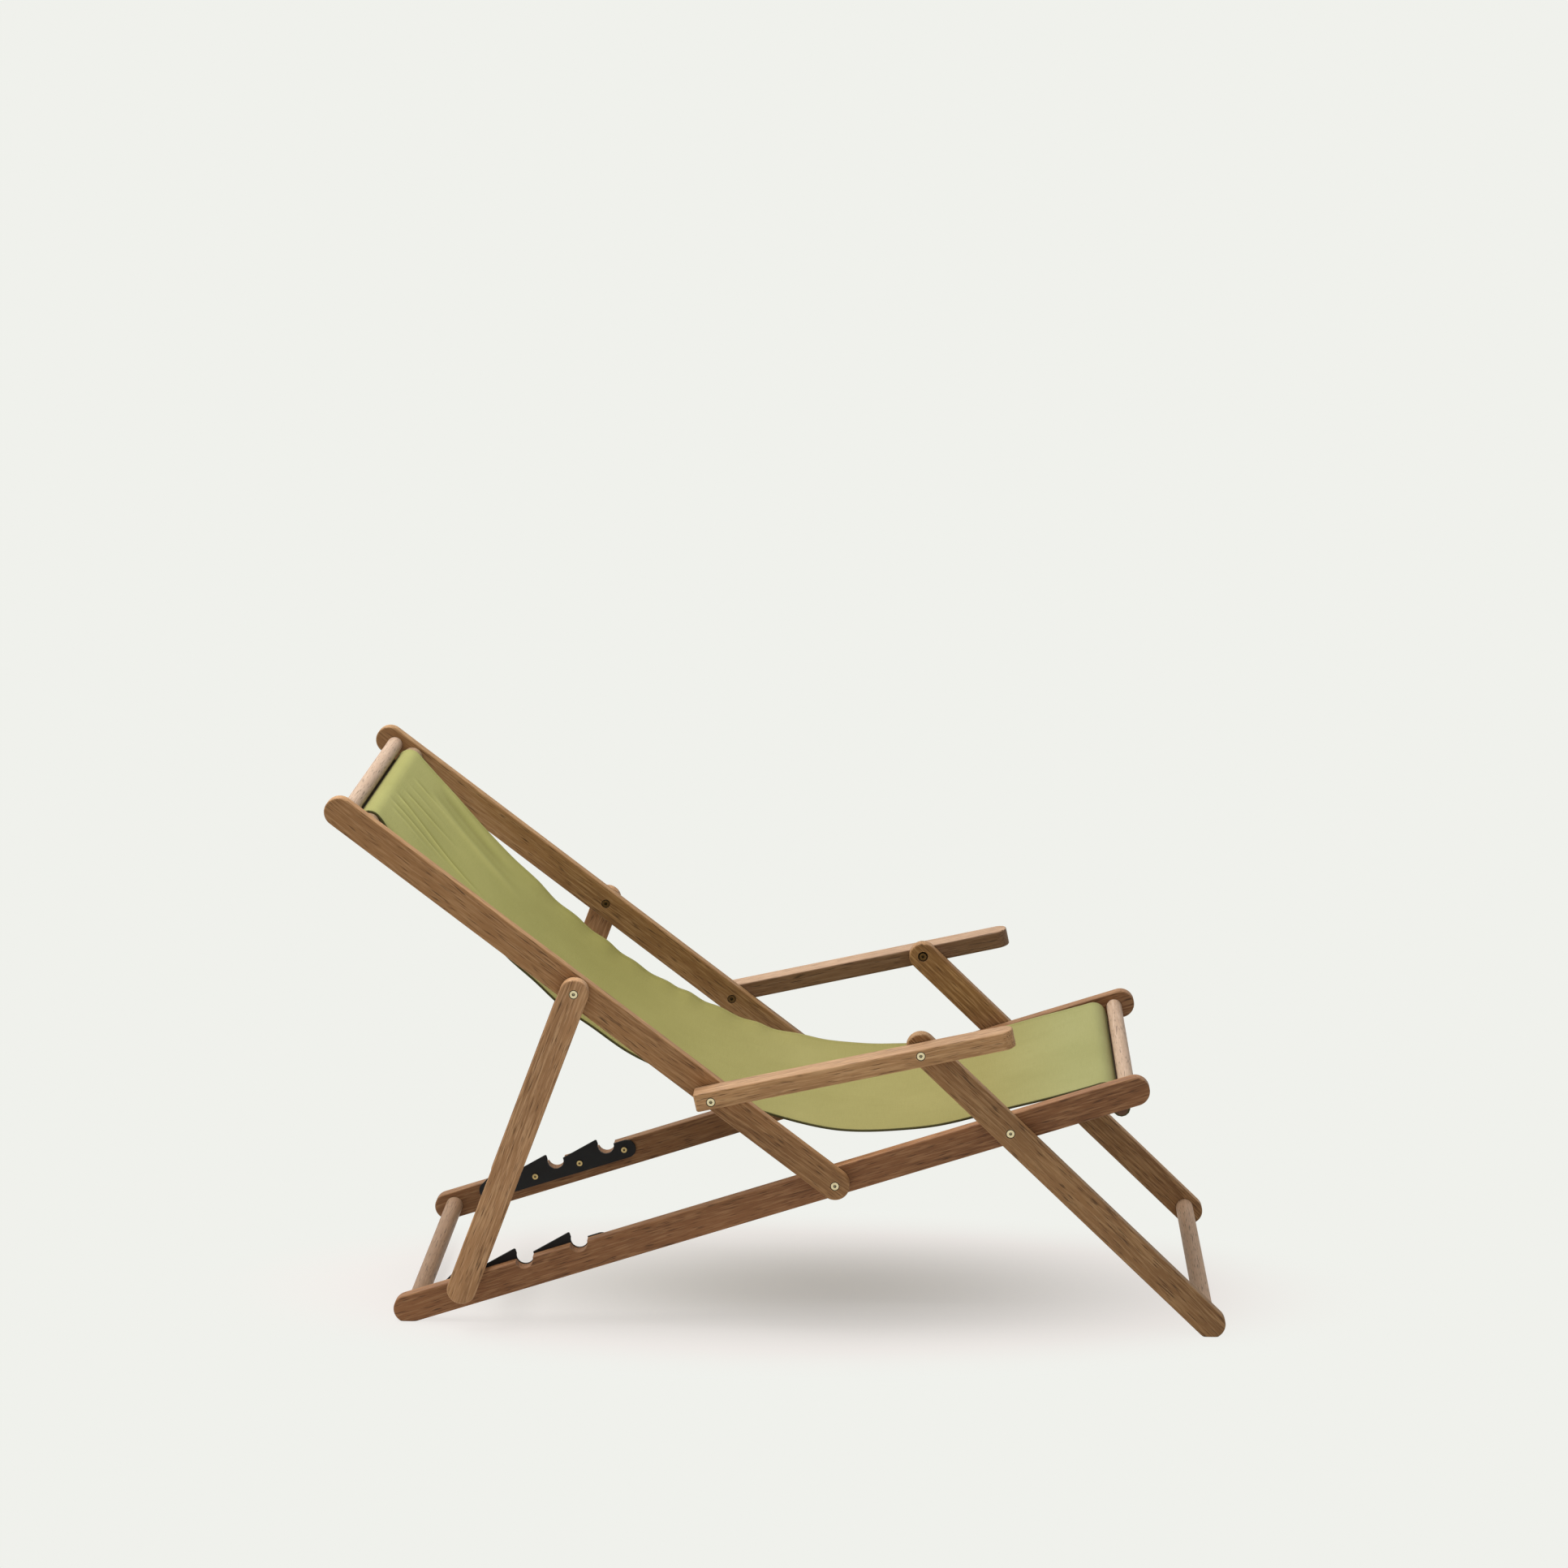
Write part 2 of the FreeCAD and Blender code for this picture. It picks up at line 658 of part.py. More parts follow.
def pivot_pieces(name, point, inner, outer, gap_face, stack):
    """Sleeve nut, bolt and washer of the right-hand pivot, in that order."""
    head = across(name + "_nut_head", point, inner + sink, "sizes.head_height", "sizes.head_dia / 2")
    length = f"{stack} - {SINKS} - sizes.head_height - sizes.sleeve_short"
    tube = across(name + "_tube", point, inner + sink, length, "sizes.sleeve_dia / 2")
    bore = across(
        name + "_bore", point, inner + sink + head_height, stack, "sizes.screw_dia / 2 + sizes.fit_gap"
    )
    nut_blank = doc.addObject("Part::MultiFuse", name + "_nut_blank")
    nut_blank.Shapes = [head, tube]
    nut_key = socket(name + "_nut_key", point, inner + sink)
    nut = cut(nut_blank, [bore, nut_key], name + "_nut_piece")

    cap_start = outer - sink - head_height
    cap = across(name + "_cap", point, cap_start, "sizes.head_height", "sizes.head_dia / 2")
    length = f"{stack} - {SINKS} - 2 * sizes.head_height - sizes.screw_short"
    shank_start = inner + sink + head_height + size("screw_short")
    shank = across(name + "_shank", point, shank_start, length, "sizes.screw_dia / 2")
    bolt_blank = doc.addObject("Part::MultiFuse", name + "_bolt_blank")
    bolt_blank.Shapes = [cap, shank]
    bolt_key = socket(name + "_bolt_key", point, outer - sink - size("socket_depth"))
    bolt = cut(bolt_blank, [bolt_key], name + "_bolt_piece")

    ring_start = gap_face + size("washer_play")
    height = "sizes.layer_gap - 2 * sizes.washer_play"
    ring = across(name + "_ring", point, ring_start, height, "sizes.washer_dia / 2")
    eye = across(name + "_eye", point, ring_start, height, "sizes.sleeve_dia / 2 + sizes.run_gap")
    washer = cut(ring, [eye], name + "_washer_piece")
    return nut, bolt, washer


rail_pivots = [
    ("back_pivot", back_pivot, seat_in, mid_out, seat_out, RAIL_STACK),
    ("leg_pivot", leg_pivot, seat_in, mid_out, seat_out, RAIL_STACK),
    ("arm_rear_pivot", arm_rear_pivot, mid_in, arm_out, mid_out, ARM_STACK),
    ("prop_pivot", prop_pivot, mid_in, prop_out, mid_out, RAIL_STACK),
]
for name, point, inner, outer, gap_face, stack in rail_pivots:
    nut, bolt, washer = pivot_pieces(name, point, inner, outer, gap_face, stack)
    pair(nut, name + "_nuts")
    pair(bolt, name + "_bolts")
    pair(washer, name + "_washers")
nut, bolt, washer = pivot_pieces("arm_front_pivot", arm_front_pivot, mid_in, arm_out, mid_out, ARM_STACK)
sided(nut, "arm_front_nut")
sided(bolt, "arm_front_bolt")
sided(washer, "arm_front_washer")

# Sling: a strip that hangs from the two sling dowels, goes down between each one and its end dowel, and
# ends in a hem round a rod

strip_half = size("sling_thick") / 2
wrap_radius = size("sling_dowel_dia") / 2 + size("sling_gap") + strip_half
seat_drop = size("sling_dowel_rise") + size("seat_hem_drop")
back_drop = size("sling_dowel_rise") + size("back_hem_drop")
seat_loop = size("seat_hem_dia") / 2 + size("sling_gap") + strip_half
back_loop = size("back_hem_dia") / 2 + size("sling_gap") + strip_half
seat_hem_point = seat_sling_point + along_seat * wrap_radius - face_seat * seat_drop
back_hem_point = back_sling_point + along_back * wrap_radius - face_back * back_drop
top_angle = size("sling_top_angle")
back_angle = size("sling_back_angle")
hip_angle = size("sling_hip_angle")
knee_angle = size("sling_knee_angle")
front_angle = size("sling_front_angle")
back_radius = size("sling_back_radius")
seat_radius = size("sling_seat_radius")


def turn(start, end):
    """Way along an arc of radius 1 that turns from one direction to another."""
    first = math.radians(start)
    last = math.radians(end)
    return Vec(math.sin(last) - math.sin(first), 0, math.cos(first) - math.cos(last))


# The two middle arcs have given radii; the first and the last take up the distance between the dowels
strip_start = back_sling_point + heading(top_angle + 90) * wrap_radius
strip_end = seat_sling_point + heading(front_angle + 90) * wrap_radius
middle_way = turn(back_angle, hip_angle) * back_radius + turn(hip_angle, knee_angle) * seat_radius
rest = strip_end - strip_start - middle_way
upper = turn(top_angle, back_angle)
lower = turn(knee_angle, front_angle)
scale = upper.x * lower.z - upper.z * lower.x
upper_radius = (rest.x * lower.z - rest.z * lower.x) / scale
lower_radius = (upper.x * rest.z - upper.z * rest.x) / scale


def line_edge(start, end, left):
    side = Vec(start.z - end.z, 0, end.x - start.x).normalize() * left
    return Part.LineSegment(start + side, end + side).toShape()


def arc_edge(centre, radius, first, last):
    middle = (first + last) / 2
    ends = [centre + heading(angle) * radius for angle in (first, middle, last)]
    return Part.Arc(*ends).toShape()


def strip_side(left):
    """Edges of one side of the strip, at the distance left from its centre line."""
    edges = [line_edge(back_hem_point + face_back * back_loop, back_hem_point + face_back * back_drop, left)]
    edges.append(arc_edge(back_sling_point, wrap_radius + left, back_heading, top_angle + 90))
    place = strip_start
    arcs = (
        (upper_radius, top_angle, back_angle),
        (back_radius, back_angle, hip_angle),
        (seat_radius, hip_angle, knee_angle),
        (lower_radius, knee_angle, front_angle),
    )
    for radius, first, last in arcs:
        centre = place + heading(first + 90) * radius
        edges.append(arc_edge(centre, radius - left, first - 90, last - 90))
        place = place + turn(first, last) * radius
    edges.append(arc_edge(seat_sling_point, wrap_radius + left, front_angle + 90, seat_angle))
    front_tail = seat_hem_point + face_seat * seat_loop
    edges.append(line_edge(seat_hem_point + face_seat * seat_drop, front_tail, left))
    return edges


def end_point(edge, last):
    return edge.valueAt(edge.LastParameter if last else edge.FirstParameter)


face_side = strip_side(strip_half)
under_side = strip_side(-strip_half)
caps = [
    Part.LineSegment(end_point(face_side[0], False), end_point(under_side[0], False)).toShape(),
    Part.LineSegment(end_point(face_side[-1], True), end_point(under_side[-1], True)).toShape(),
]
outline = Part.Wire(Part.__sortEdges__(face_side + under_side + caps))
half_sling = sling_width / 2
strip = Part.Face(outline).extrude(Vec(0, sling_width, 0))
strip.translate(Vec(0, -half_sling, 0))
hems = []
for point, loop in ((seat_hem_point, seat_loop), (back_hem_point, back_loop)):
    start = Vec(point.x, -half_sling, point.z)
    solid = Part.makeCylinder(loop + strip_half, sling_width, start, Vec(0, 1, 0))
    hollow = Part.makeCylinder(loop - strip_half, sling_width, start, Vec(0, 1, 0))
    hems.append(solid.cut(hollow))
sling = doc.addObject("Part::Feature", "sling")
sling.Shape = strip.fuse(hems).removeSplitter()
node(sling, "sling")

half_rod = size("hem_rod_length") / 2
for end, point in (("seat", seat_hem_point), ("back", back_hem_point)):
    label = end + "_hem_rod"
    node(across(label, point, -half_rod, "sizes.hem_rod_length", f"sizes.{end}_hem_dia / 2"), label)

# Checks and STEP files

doc.recompute()
for obj in doc.Objects:
    if "Invalid" in obj.State or "Error" in obj.State:
        raise RuntimeError(f"{obj.Name} is {obj.State}")
os.makedirs("parts", exist_ok=True)
for obj in nodes:
    if obj.Shape.isNull() or not obj.Shape.isValid() or obj.Shape.Volume <= 0:
        raise RuntimeError(f"{obj.Label} has no valid shape")
    obj.Shape.exportStep(f"parts/{obj.Label}.step")
print(f"{len(nodes)} parts written")
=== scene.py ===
"""Folding sun lounger: woods, sling cloth and hardware finishes, with the floor, the light and the camera."""

import math

import bpy
import numpy as np
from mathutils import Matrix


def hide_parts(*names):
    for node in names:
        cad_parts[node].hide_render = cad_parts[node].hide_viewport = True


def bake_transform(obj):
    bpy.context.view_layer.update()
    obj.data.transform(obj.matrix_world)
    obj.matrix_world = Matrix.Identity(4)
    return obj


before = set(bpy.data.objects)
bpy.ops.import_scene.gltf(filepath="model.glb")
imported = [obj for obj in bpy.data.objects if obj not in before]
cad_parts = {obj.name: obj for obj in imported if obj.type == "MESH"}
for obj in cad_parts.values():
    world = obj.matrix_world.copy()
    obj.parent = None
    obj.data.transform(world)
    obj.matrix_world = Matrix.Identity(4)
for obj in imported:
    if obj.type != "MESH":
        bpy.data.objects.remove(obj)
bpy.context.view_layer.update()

# Headings of the wooden members in the side view, in degrees from +X towards +Z
SEAT_HEADING = 17.951
BACK_HEADING = 142.351
LEG_HEADING = 135.855
ARM_HEADING = 12.395
PROP_HEADING = 249.6

# Pivot of the back on the seat rails, and the sizes that place the sling, in metres and degrees
BACK_PIVOT = np.array([0.076285, 0.208088])
SEAT_FRONT = 0.427
BACK_TOP = 0.842
DOWEL_INSET = 0.010
SLING_DOWEL_PITCH = 0.032
SLING_DOWEL_RISE = 0.0004
SLING_DOWEL_RADIUS = 0.015
SEAT_HEM_RADIUS = 0.009
SEAT_HEM_DROP = 0.0245
BACK_HEM_RADIUS = 0.005
BACK_HEM_DROP = 0.016
SLING_GAP = 0.0004
SLING_HALF_WIDTH = 0.212
SLING_LINE = 0.001
SLING_HALF_THICK = 0.0007
SLING_TOP_ANGLE = -50.7
SLING_BACK_ANGLE = -45.0
SLING_HIP_ANGLE = -16.8
SLING_KNEE_ANGLE = 12.1
SLING_FRONT_ANGLE = 18.3
SLING_BACK_RADIUS = 0.816
SLING_SEAT_RADIUS = 0.468
# Distance between the sling's points along its line, and its lanes between the side hems
SLING_STEP = 0.005
INNER_LANES = 211
INNER_INSET = 0.014

# Side hems of the sling, measured in from the edge: lanes, end of the turned cloth, seam, stitches and rounded rim
HEM_LANES = (0.0, 0.0005, 0.0016, 0.0050, 0.0090, 0.0110, 0.0121)
HEM_FULL = 0.0092
HEM_END = 0.0118
SEAM_INSET = 0.0085
SEAM_HALF_WIDTH = 0.0012
STITCH_PITCH = 0.0034
RIM_ROUND = 0.0014

# Lift of the sling's two side edges over its line: way down from the top roll, then the lift
FAR_EDGE = (
    (0.00, 0.0000), (0.10, 0.0016), (0.20, 0.0008), (0.254, 0.0028), (0.294, 0.0002), (0.332, 0.0032),
    (0.362, 0.0012), (0.390, 0.0034), (0.418, 0.0004), (0.440, 0.0018), (0.470, -0.0006), (0.500, 0.0022),
    (0.514, 0.0014), (0.534, 0.0040), (0.560, 0.0014), (0.584, 0.0036), (0.618, 0.0010), (0.645, 0.0034),
    (0.668, 0.0014), (0.712, 0.0056), (0.750, 0.0044), (0.785, 0.0048), (0.840, 0.0040), (0.91, 0.0010),
    (1.00, 0.0004), (1.07, 0.0016), (1.12, 0.0006), (1.157, 0.0000),
)
NEAR_EDGE = (
    (0.00, 0.0000), (0.12, -0.0010), (0.20, 0.0006), (0.26, -0.0008), (0.31, 0.0012), (0.36, -0.0010),
    (0.41, 0.0010), (0.47, -0.0012), (0.53, 0.0014), (0.60, -0.0006), (0.70, 0.0012), (0.78, -0.0006),
    (0.86, 0.0010), (0.93, -0.0006), (1.00, 0.0010), (1.08, 0.0002), (1.157, 0.0000),
)

# Folds that hang from the top roll: place across, half width, depth, slant, where one starts and starts to fade
FOLDS = (
    (-0.120, 0.0060, 0.50, 0.10, 0.000, 0.030),
    (-0.093, 0.0062, 1.00, 0.10, -0.005, 0.060),
    (-0.056, 0.0066, 1.25, -0.10, -0.002, 0.130),
    (0.000, 0.0066, 1.00, 0.18, 0.004, 0.060),
    (0.040, 0.0062, 0.50, 0.10, 0.006, 0.030),
    (0.087, 0.0066, 0.75, 0.06, 0.008, 0.035),
    (0.105, 0.0160, 0.55, -0.16, 0.040, 0.180),
    (0.172, 0.0160, -0.60, -0.20, 0.050, 0.160),
)
FOLD_HEIGHT = 0.0016
# Folds before the front roll: place across, half width, depth, slant
FRONT_FOLDS = (
    (-0.150, 0.014, 0.7, 0.1),
    (-0.040, 0.016, 0.5, 0.0),
    (0.095, 0.013, 0.7, -0.2),
    (0.165, 0.011, 0.9, -0.5),
)
FRONT_FOLD_HEIGHT = 0.001
# How far in the lift of an edge reaches, how far the near edge droops below the top roll, and the broad shapes
FAR_EDGE_REACH = 0.038
NEAR_EDGE_REACH = 0.034
DROOP = 0.0030
DROOP_REACH = 0.012
BROAD_WAVES = 0.0009
SLING_HOLLOW = 0.005

# Tone along the cloth, partly its own faded tone and partly painted light and shade: share of the way from the top
# roll to the front roll, then the tone there
CLOTH_TONE_AND_PAINTED_LIGHT = (
    (0.000, (0.238, 0.224, 0.076)),  # round the top roll
    (0.026, (0.396, 0.388, 0.125)),  # just below it
    (0.135, (0.388, 0.374, 0.110)),  # shoulders
    (0.370, (0.308, 0.281, 0.076)),  # lower back
    (0.640, (0.352, 0.316, 0.107)),  # seat
    (0.860, (0.320, 0.279, 0.093)),  # thighs
    (0.970, (0.350, 0.338, 0.130)),  # knees
)
TONE_LEAD = 0.03  # how far up on the top roll the first tone lies
# Factors on the cloth's tone: random fading and slubs, then painted light on the fold ridges and painted shade in
# the fold hollows
FADED = (1.10, 1.10, 1.16, 1.0)
SLUBBED = (1.12, 1.12, 1.20, 1.0)
RIDGE_PAINTED_LIGHT = (1.24, 1.24, 1.30, 1.0)
HOLLOW_PAINTED_SHADE = (0.72, 0.71, 0.64, 1.0)
# Tones between the threads and of the stitches, and painted shade on the rim
GAP_TONE = (0.16, 0.150, 0.040, 1.0)
STITCH_TONE = (0.22, 0.205, 0.06, 1.0)
RIM_PAINTED_SHADE = (0.045, 0.045, 0.018, 1.0)

# Painted shade in the corners of the wood and of the hardware
WOOD_CORNER_SHADE = (0.020, 0.012, 0.007, 1.0)
METAL_CORNER_SHADE = (0.008, 0.007, 0.005, 1.0)

# Floor tone, which the far floor and the sky behind it share, and the warm tint of the painted shadow near the
# lounger
PALE = (0.871, 0.880, 0.839, 1.0)
SHADE_TINT = (0.900, 0.862, 0.828, 1.0)
# Painted shadow under the lounger: an ellipse where the floor's glow drops so that the shadow shows, where it
# starts and ends, and the floor's glow in its middle
SHADE_SHIFT = (0.0, 0.22, 0.0)
SHADE_STRETCH = (1.1, 2.6, 1.0)
SHADE_START = 0.05
SHADE_END = 0.95
SHADE_GLOW = 0.39
FLOOR_HALF = 60.0

# Lamps: place, aim, width, depth and power
LAMPS = {
    "overhead": ((-1.3, 0.25, 3.0), (0.0, 0.0, 0.2), 2.6, 2.2, 101.0),
    "front_fill": ((1.2, -3.6, 2.0), (0.0, 0.0, 0.35), 2.2, 1.8, 9.0),
}
AMBIENT = 0.31

# Camera: millimetres of lens and sensor, place in metres, dip below level and turn in degrees
CAMERA_LENS = 91.35
CAMERA_SENSOR = 36.0
CAMERA_PLACE = (0.2108, -5.444, 1.849)
CAMERA_DIP = 11.787
CAMERA_TURN = 2.25


# Node helpers

# Numbers of the colour sockets on the mix node
MIX_SHARE, MIX_FIRST, MIX_SECOND, MIX_RESULT = 0, 6, 7, 2
FLOAT = "NodeSocketFloat"
VECTOR = "NodeSocketVector"


class Tree:
    """Adds nodes to one shader tree and joins them by socket names."""

    def __init__(self, tree):
        self.tree = tree

    def add(self, kind, values=None, **settings):
        made = self.tree.nodes.new(kind)
        for key, value in settings.items():
            setattr(made, key, value)
        for key, value in (values or {}).items():
            if isinstance(value, bpy.types.NodeSocket):
                self.join(value, made.inputs[key])
            else:
                made.inputs[key].default_value = value
        return made

    def join(self, source, target):
        self.tree.links.new(source, target)

    def math(self, operation, first, second=0.0, clamp=False):
        made = self.add("ShaderNodeMath", {0: first, 1: second}, operation=operation, use_clamp=clamp)
        return made.outputs[0]

    def mix(self, share, first, second, blend="MIX"):
        values = {MIX_SHARE: share, MIX_FIRST: first, MIX_SECOND: second}
        made = self.add("ShaderNodeMix", values, data_type="RGBA", blend_type=blend)
        return made.outputs[MIX_RESULT]

    def noise(self, vector, scale, detail=2.0, roughness=0.5):
        values = {"Vector": vector, "Scale": scale, "Detail": detail, "Roughness": roughness}
        return self.add("ShaderNodeTexNoise", values).outputs["Fac"]

    def stretch(self, vector, scale):
        values = {"Vector": vector, "Scale": scale}
        return self.add("ShaderNodeMapping", values).outputs["Vector"]

    def ramp(self, value, low, high, to_low=0.0, to_high=1.0):
        values = {"Value": value, "From Min": low, "From Max": high, "To Min": to_low, "To Max": to_high}
        return self.add("ShaderNodeMapRange", values).outputs["Result"]


def effect(name, inputs, outputs):
    """Starts a shader node group and returns its tree, the input node and the output node."""
    group = bpy.data.node_groups.new(name, "ShaderNodeTree")
    for label, kind, value in inputs:
        socket = group.interface.new_socket(name=label, in_out="INPUT", socket_type=kind)
        if value is not None:
            socket.default_value = value
    for label, kind in outputs:
        group.interface.new_socket(name=label, in_out="OUTPUT", socket_type=kind)
    return Tree(group), group.nodes.new("NodeGroupInput"), group.nodes.new("NodeGroupOutput")


def put_out(tree, out, results):
    """Joins the results of an effect to its output node."""
    for label, value in results.items():
        tree.join(value, out.inputs[label])


def finish_material(name):
    """A new material with its tree and its Principled shader."""
    material = bpy.data.materials.new(name)
    material.use_nodes = True
    tree = Tree(material.node_tree)
    return material, tree, material.node_tree.nodes["Principled BSDF"]


def place(tree, group_name, values):
    """Puts a shared effect into a tree."""
    return tree.add("ShaderNodeGroup", values, node_tree=bpy.data.node_groups[group_name])


# Effects that several finishes share


def make_brushed_grain():
    """Wood brushed along X: broad bands, fine streaks and short dark pores, all drawn out along X."""
    tree, given, out = effect(
        "brushed_grain",
        [("Vector", VECTOR, None), ("Band Scale", FLOAT, 26.0), ("Streak Scale", FLOAT, 420.0),
         ("Pore Scale", FLOAT, 700.0), ("Pore Share", FLOAT, 0.42)],
        [("Band", FLOAT), ("Streak", FLOAT), ("Pore", FLOAT), ("Height", FLOAT)],
    )
    place_in = given.outputs["Vector"]
    wander = tree.noise(tree.stretch(place_in, (3.0, 9.0, 9.0)), 1.0, 1.0)
    drift = tree.math("MULTIPLY", tree.math("SUBTRACT", wander, 0.5), 0.012)
    shift = tree.add("ShaderNodeCombineXYZ", {"X": 0.0, "Y": drift, "Z": drift}).outputs["Vector"]
    moved = tree.add("ShaderNodeVectorMath", {0: place_in, 1: shift}, operation="ADD").outputs["Vector"]
    band = tree.noise(tree.stretch(moved, (0.10, 1.0, 1.0)), given.outputs["Band Scale"], 3.0, 0.55)
    streak = tree.noise(tree.stretch(moved, (0.050, 1.0, 1.0)), given.outputs["Streak Scale"], 3.0, 0.6)
    specks = tree.noise(tree.stretch(moved, (0.060, 1.0, 1.0)), given.outputs["Pore Scale"], 1.0, 0.5)
    pore = tree.ramp(specks, given.outputs["Pore Share"], 0.27)
    height = tree.math("SUBTRACT", tree.math("MULTIPLY", streak, 0.6), tree.math("MULTIPLY", pore, 0.5))
    put_out(tree, out, {"Band": band, "Streak": streak, "Pore": pore, "Height": height})


def make_rubbed_edges():
    """Mask of the rounded edges, where handling has worn the finish."""
    tree, given, out = effect(
        "rubbed_edges", [("Reach", FLOAT, 0.0025), ("Vector", VECTOR, None)], [("Mask", FLOAT)]
    )
    soft = tree.add("ShaderNodeBevel", {"Radius": given.outputs["Reach"]}, samples=4).outputs["Normal"]
    hard = tree.add("ShaderNodeNewGeometry").outputs["Normal"]
    turn = tree.add("ShaderNodeVectorMath", {0: soft, 1: hard}, operation="DOT_PRODUCT").outputs["Value"]
    worn = tree.ramp(turn, 0.995, 0.90)
    patches = tree.ramp(tree.noise(given.outputs["Vector"], 45.0, 3.0), 0.35, 0.7)
    put_out(tree, out, {"Mask": tree.math("MULTIPLY", worn, patches, True)})


def make_dull_patches():
    """Slow change of gloss and tone over a coated or plated surface."""
    tree, given, out = effect(
        "dull_patches", [("Vector", VECTOR, None), ("Scale", FLOAT, 60.0)], [("Patch", FLOAT), ("Fleck", FLOAT)]
    )
    patch = tree.noise(given.outputs["Vector"], given.outputs["Scale"], 4.0, 0.6)
    fleck = tree.noise(given.outputs["Vector"], 1600.0, 2.0, 0.6)
    put_out(tree, out, {"Patch": patch, "Fleck": fleck})


def make_painted_corner_shade():
    """Mask of narrow corners and holes, for painted shade."""
    tree, given, out = effect(
        "painted_corner_shade", [("Reach", FLOAT, 0.0016), ("Start", FLOAT, 0.75)], [("Mask", FLOAT)]
    )
    shade = tree.add("ShaderNodeAmbientOcclusion", {"Distance": given.outputs["Reach"]}, samples=8)
    full = tree.math("SUBTRACT", given.outputs["Start"], 0.35)
    put_out(tree, out, {"Mask": tree.ramp(shade.outputs["AO"], given.outputs["Start"], full)})


def make_plain_weave():
    """Threads over and under, from cloth places in metres, with slubs and uneven threads."""
    tree, given, out = effect(
        "plain_weave",
        [("Cloth", VECTOR, None), ("Thread", FLOAT, 0.00075)],
        [("Height", FLOAT), ("Tone", FLOAT), ("Gap", FLOAT)],
    )
    parts = tree.add("ShaderNodeSeparateXYZ", {"Vector": given.outputs["Cloth"]})
    turn = tree.math("DIVIDE", math.pi, given.outputs["Thread"])
    warp_wave = tree.math("SINE", tree.math("MULTIPLY", parts.outputs["X"], turn))
    weft_wave = tree.math("SINE", tree.math("MULTIPLY", parts.outputs["Y"], turn))
    over = tree.math("MULTIPLY", warp_wave, weft_wave)
    warp = tree.math("MULTIPLY", tree.math("ABSOLUTE", warp_wave), tree.ramp(over, -0.4, 0.4))
    weft = tree.math("MULTIPLY", tree.math("ABSOLUTE", weft_wave), tree.ramp(over, 0.4, -0.4))
    height = tree.math("MAXIMUM", warp, weft)
    slub_along = tree.noise(tree.stretch(given.outputs["Cloth"], (1.0, 0.03, 1.0)), 900.0, 2.0)
    slub_across = tree.noise(tree.stretch(given.outputs["Cloth"], (0.03, 1.0, 1.0)), 900.0, 2.0)
    slub = tree.math("MULTIPLY", tree.math("ADD", slub_along, slub_across), 0.5)
    put_out(tree, out, {"Height": height, "Tone": slub, "Gap": tree.ramp(height, 0.35, 0.0)})


make_brushed_grain()
make_rubbed_edges()
make_dull_patches()
make_painted_corner_shade()
make_plain_weave()


# Finishes


def wood(name, turn, tones, offset, worn, top_light):
    """Oiled, brushed wood; turn brings the member's length to the grain's X axis, and the last argument is painted
    light: how much lighter the faces that look up are made."""
    material, tree, shader = finish_material(name)
    dark, middle, light = [tone + (1.0,) for tone in tones]
    own_axes = tree.add("ShaderNodeTexCoord").outputs
    object_place = own_axes["Object"]
    grain_place = tree.add(
        "ShaderNodeMapping", {"Vector": object_place, "Rotation": turn, "Location": offset}
    ).outputs["Vector"]
    grain = place(tree, "brushed_grain", {"Vector": grain_place})
    edges = place(tree, "rubbed_edges", {"Vector": grain_place})
    band = tree.ramp(grain.outputs["Band"], 0.32, 0.58, 0.20, 1.0)
    colour = tree.mix(band, dark, middle)
    colour = tree.mix(tree.ramp(grain.outputs["Streak"], 0.46, 0.66, 0.0, 0.85), colour, light)
    pore_tone = [0.40 * c for c in dark[:3]] + [1.0]
    colour = tree.mix(tree.math("MULTIPLY", grain.outputs["Pore"], 0.85), colour, pore_tone)
    # Painted light: the faces that look up are made lighter.
    up = tree.add("ShaderNodeSeparateXYZ", {"Vector": own_axes["Normal"]}).outputs["Z"]
    colour = tree.mix(tree.ramp(up, 0.45, 0.90), colour, top_light + (1.0,), "MULTIPLY")
    colour = tree.mix(tree.math("MULTIPLY", edges.outputs["Mask"], worn), colour, light)
    # Painted shade in the corners of the wood.
    shade_in_corners = place(tree, "painted_corner_shade", {"Reach": 0.0025})
    colour = tree.mix(tree.math("MULTIPLY", shade_in_corners.outputs["Mask"], 0.85), colour, WOOD_CORNER_SHADE)
    tree.join(colour, shader.inputs["Base Color"])
    rough = tree.ramp(grain.outputs["Streak"], 0.3, 0.7, 0.50, 0.66)
    tree.join(rough, shader.inputs["Roughness"])
    shader.inputs["Specular IOR Level"].default_value = 0.28
    bump = tree.add("ShaderNodeBump", {"Height": grain.outputs["Height"], "Strength": 0.35, "Distance": 0.0005})
    tree.join(bump.outputs["Normal"], shader.inputs["Normal"])
    return material


# Three tones of one wood: between the pores, on the ridges and where hands have rubbed it
RAIL_TONES = ((0.180, 0.084, 0.034), (0.330, 0.166, 0.074), (0.455, 0.262, 0.138))
SEAT_TONES = ((0.150, 0.064, 0.026), (0.280, 0.128, 0.055), (0.400, 0.215, 0.110))
ARM_TONES = ((0.250, 0.132, 0.066), (0.430, 0.248, 0.134), (0.560, 0.360, 0.222))
DOWEL_TONES = ((0.420, 0.272, 0.174), (0.530, 0.368, 0.250), (0.620, 0.460, 0.335))


def along(heading):
    """Turn that brings a member's length to X."""
    return (0.0, math.radians(heading), 0.0)


def tinted(tones, tint):
    return [tuple(share * c for share, c in zip(tint, tone)) for tone in tones]


def dress(piece, finish):
    """Gives one piece of the frame its finish."""
    piece.data.materials.clear()
    piece.data.materials.append(finish)


ACROSS = (0.0, 0.0, math.radians(-90.0))
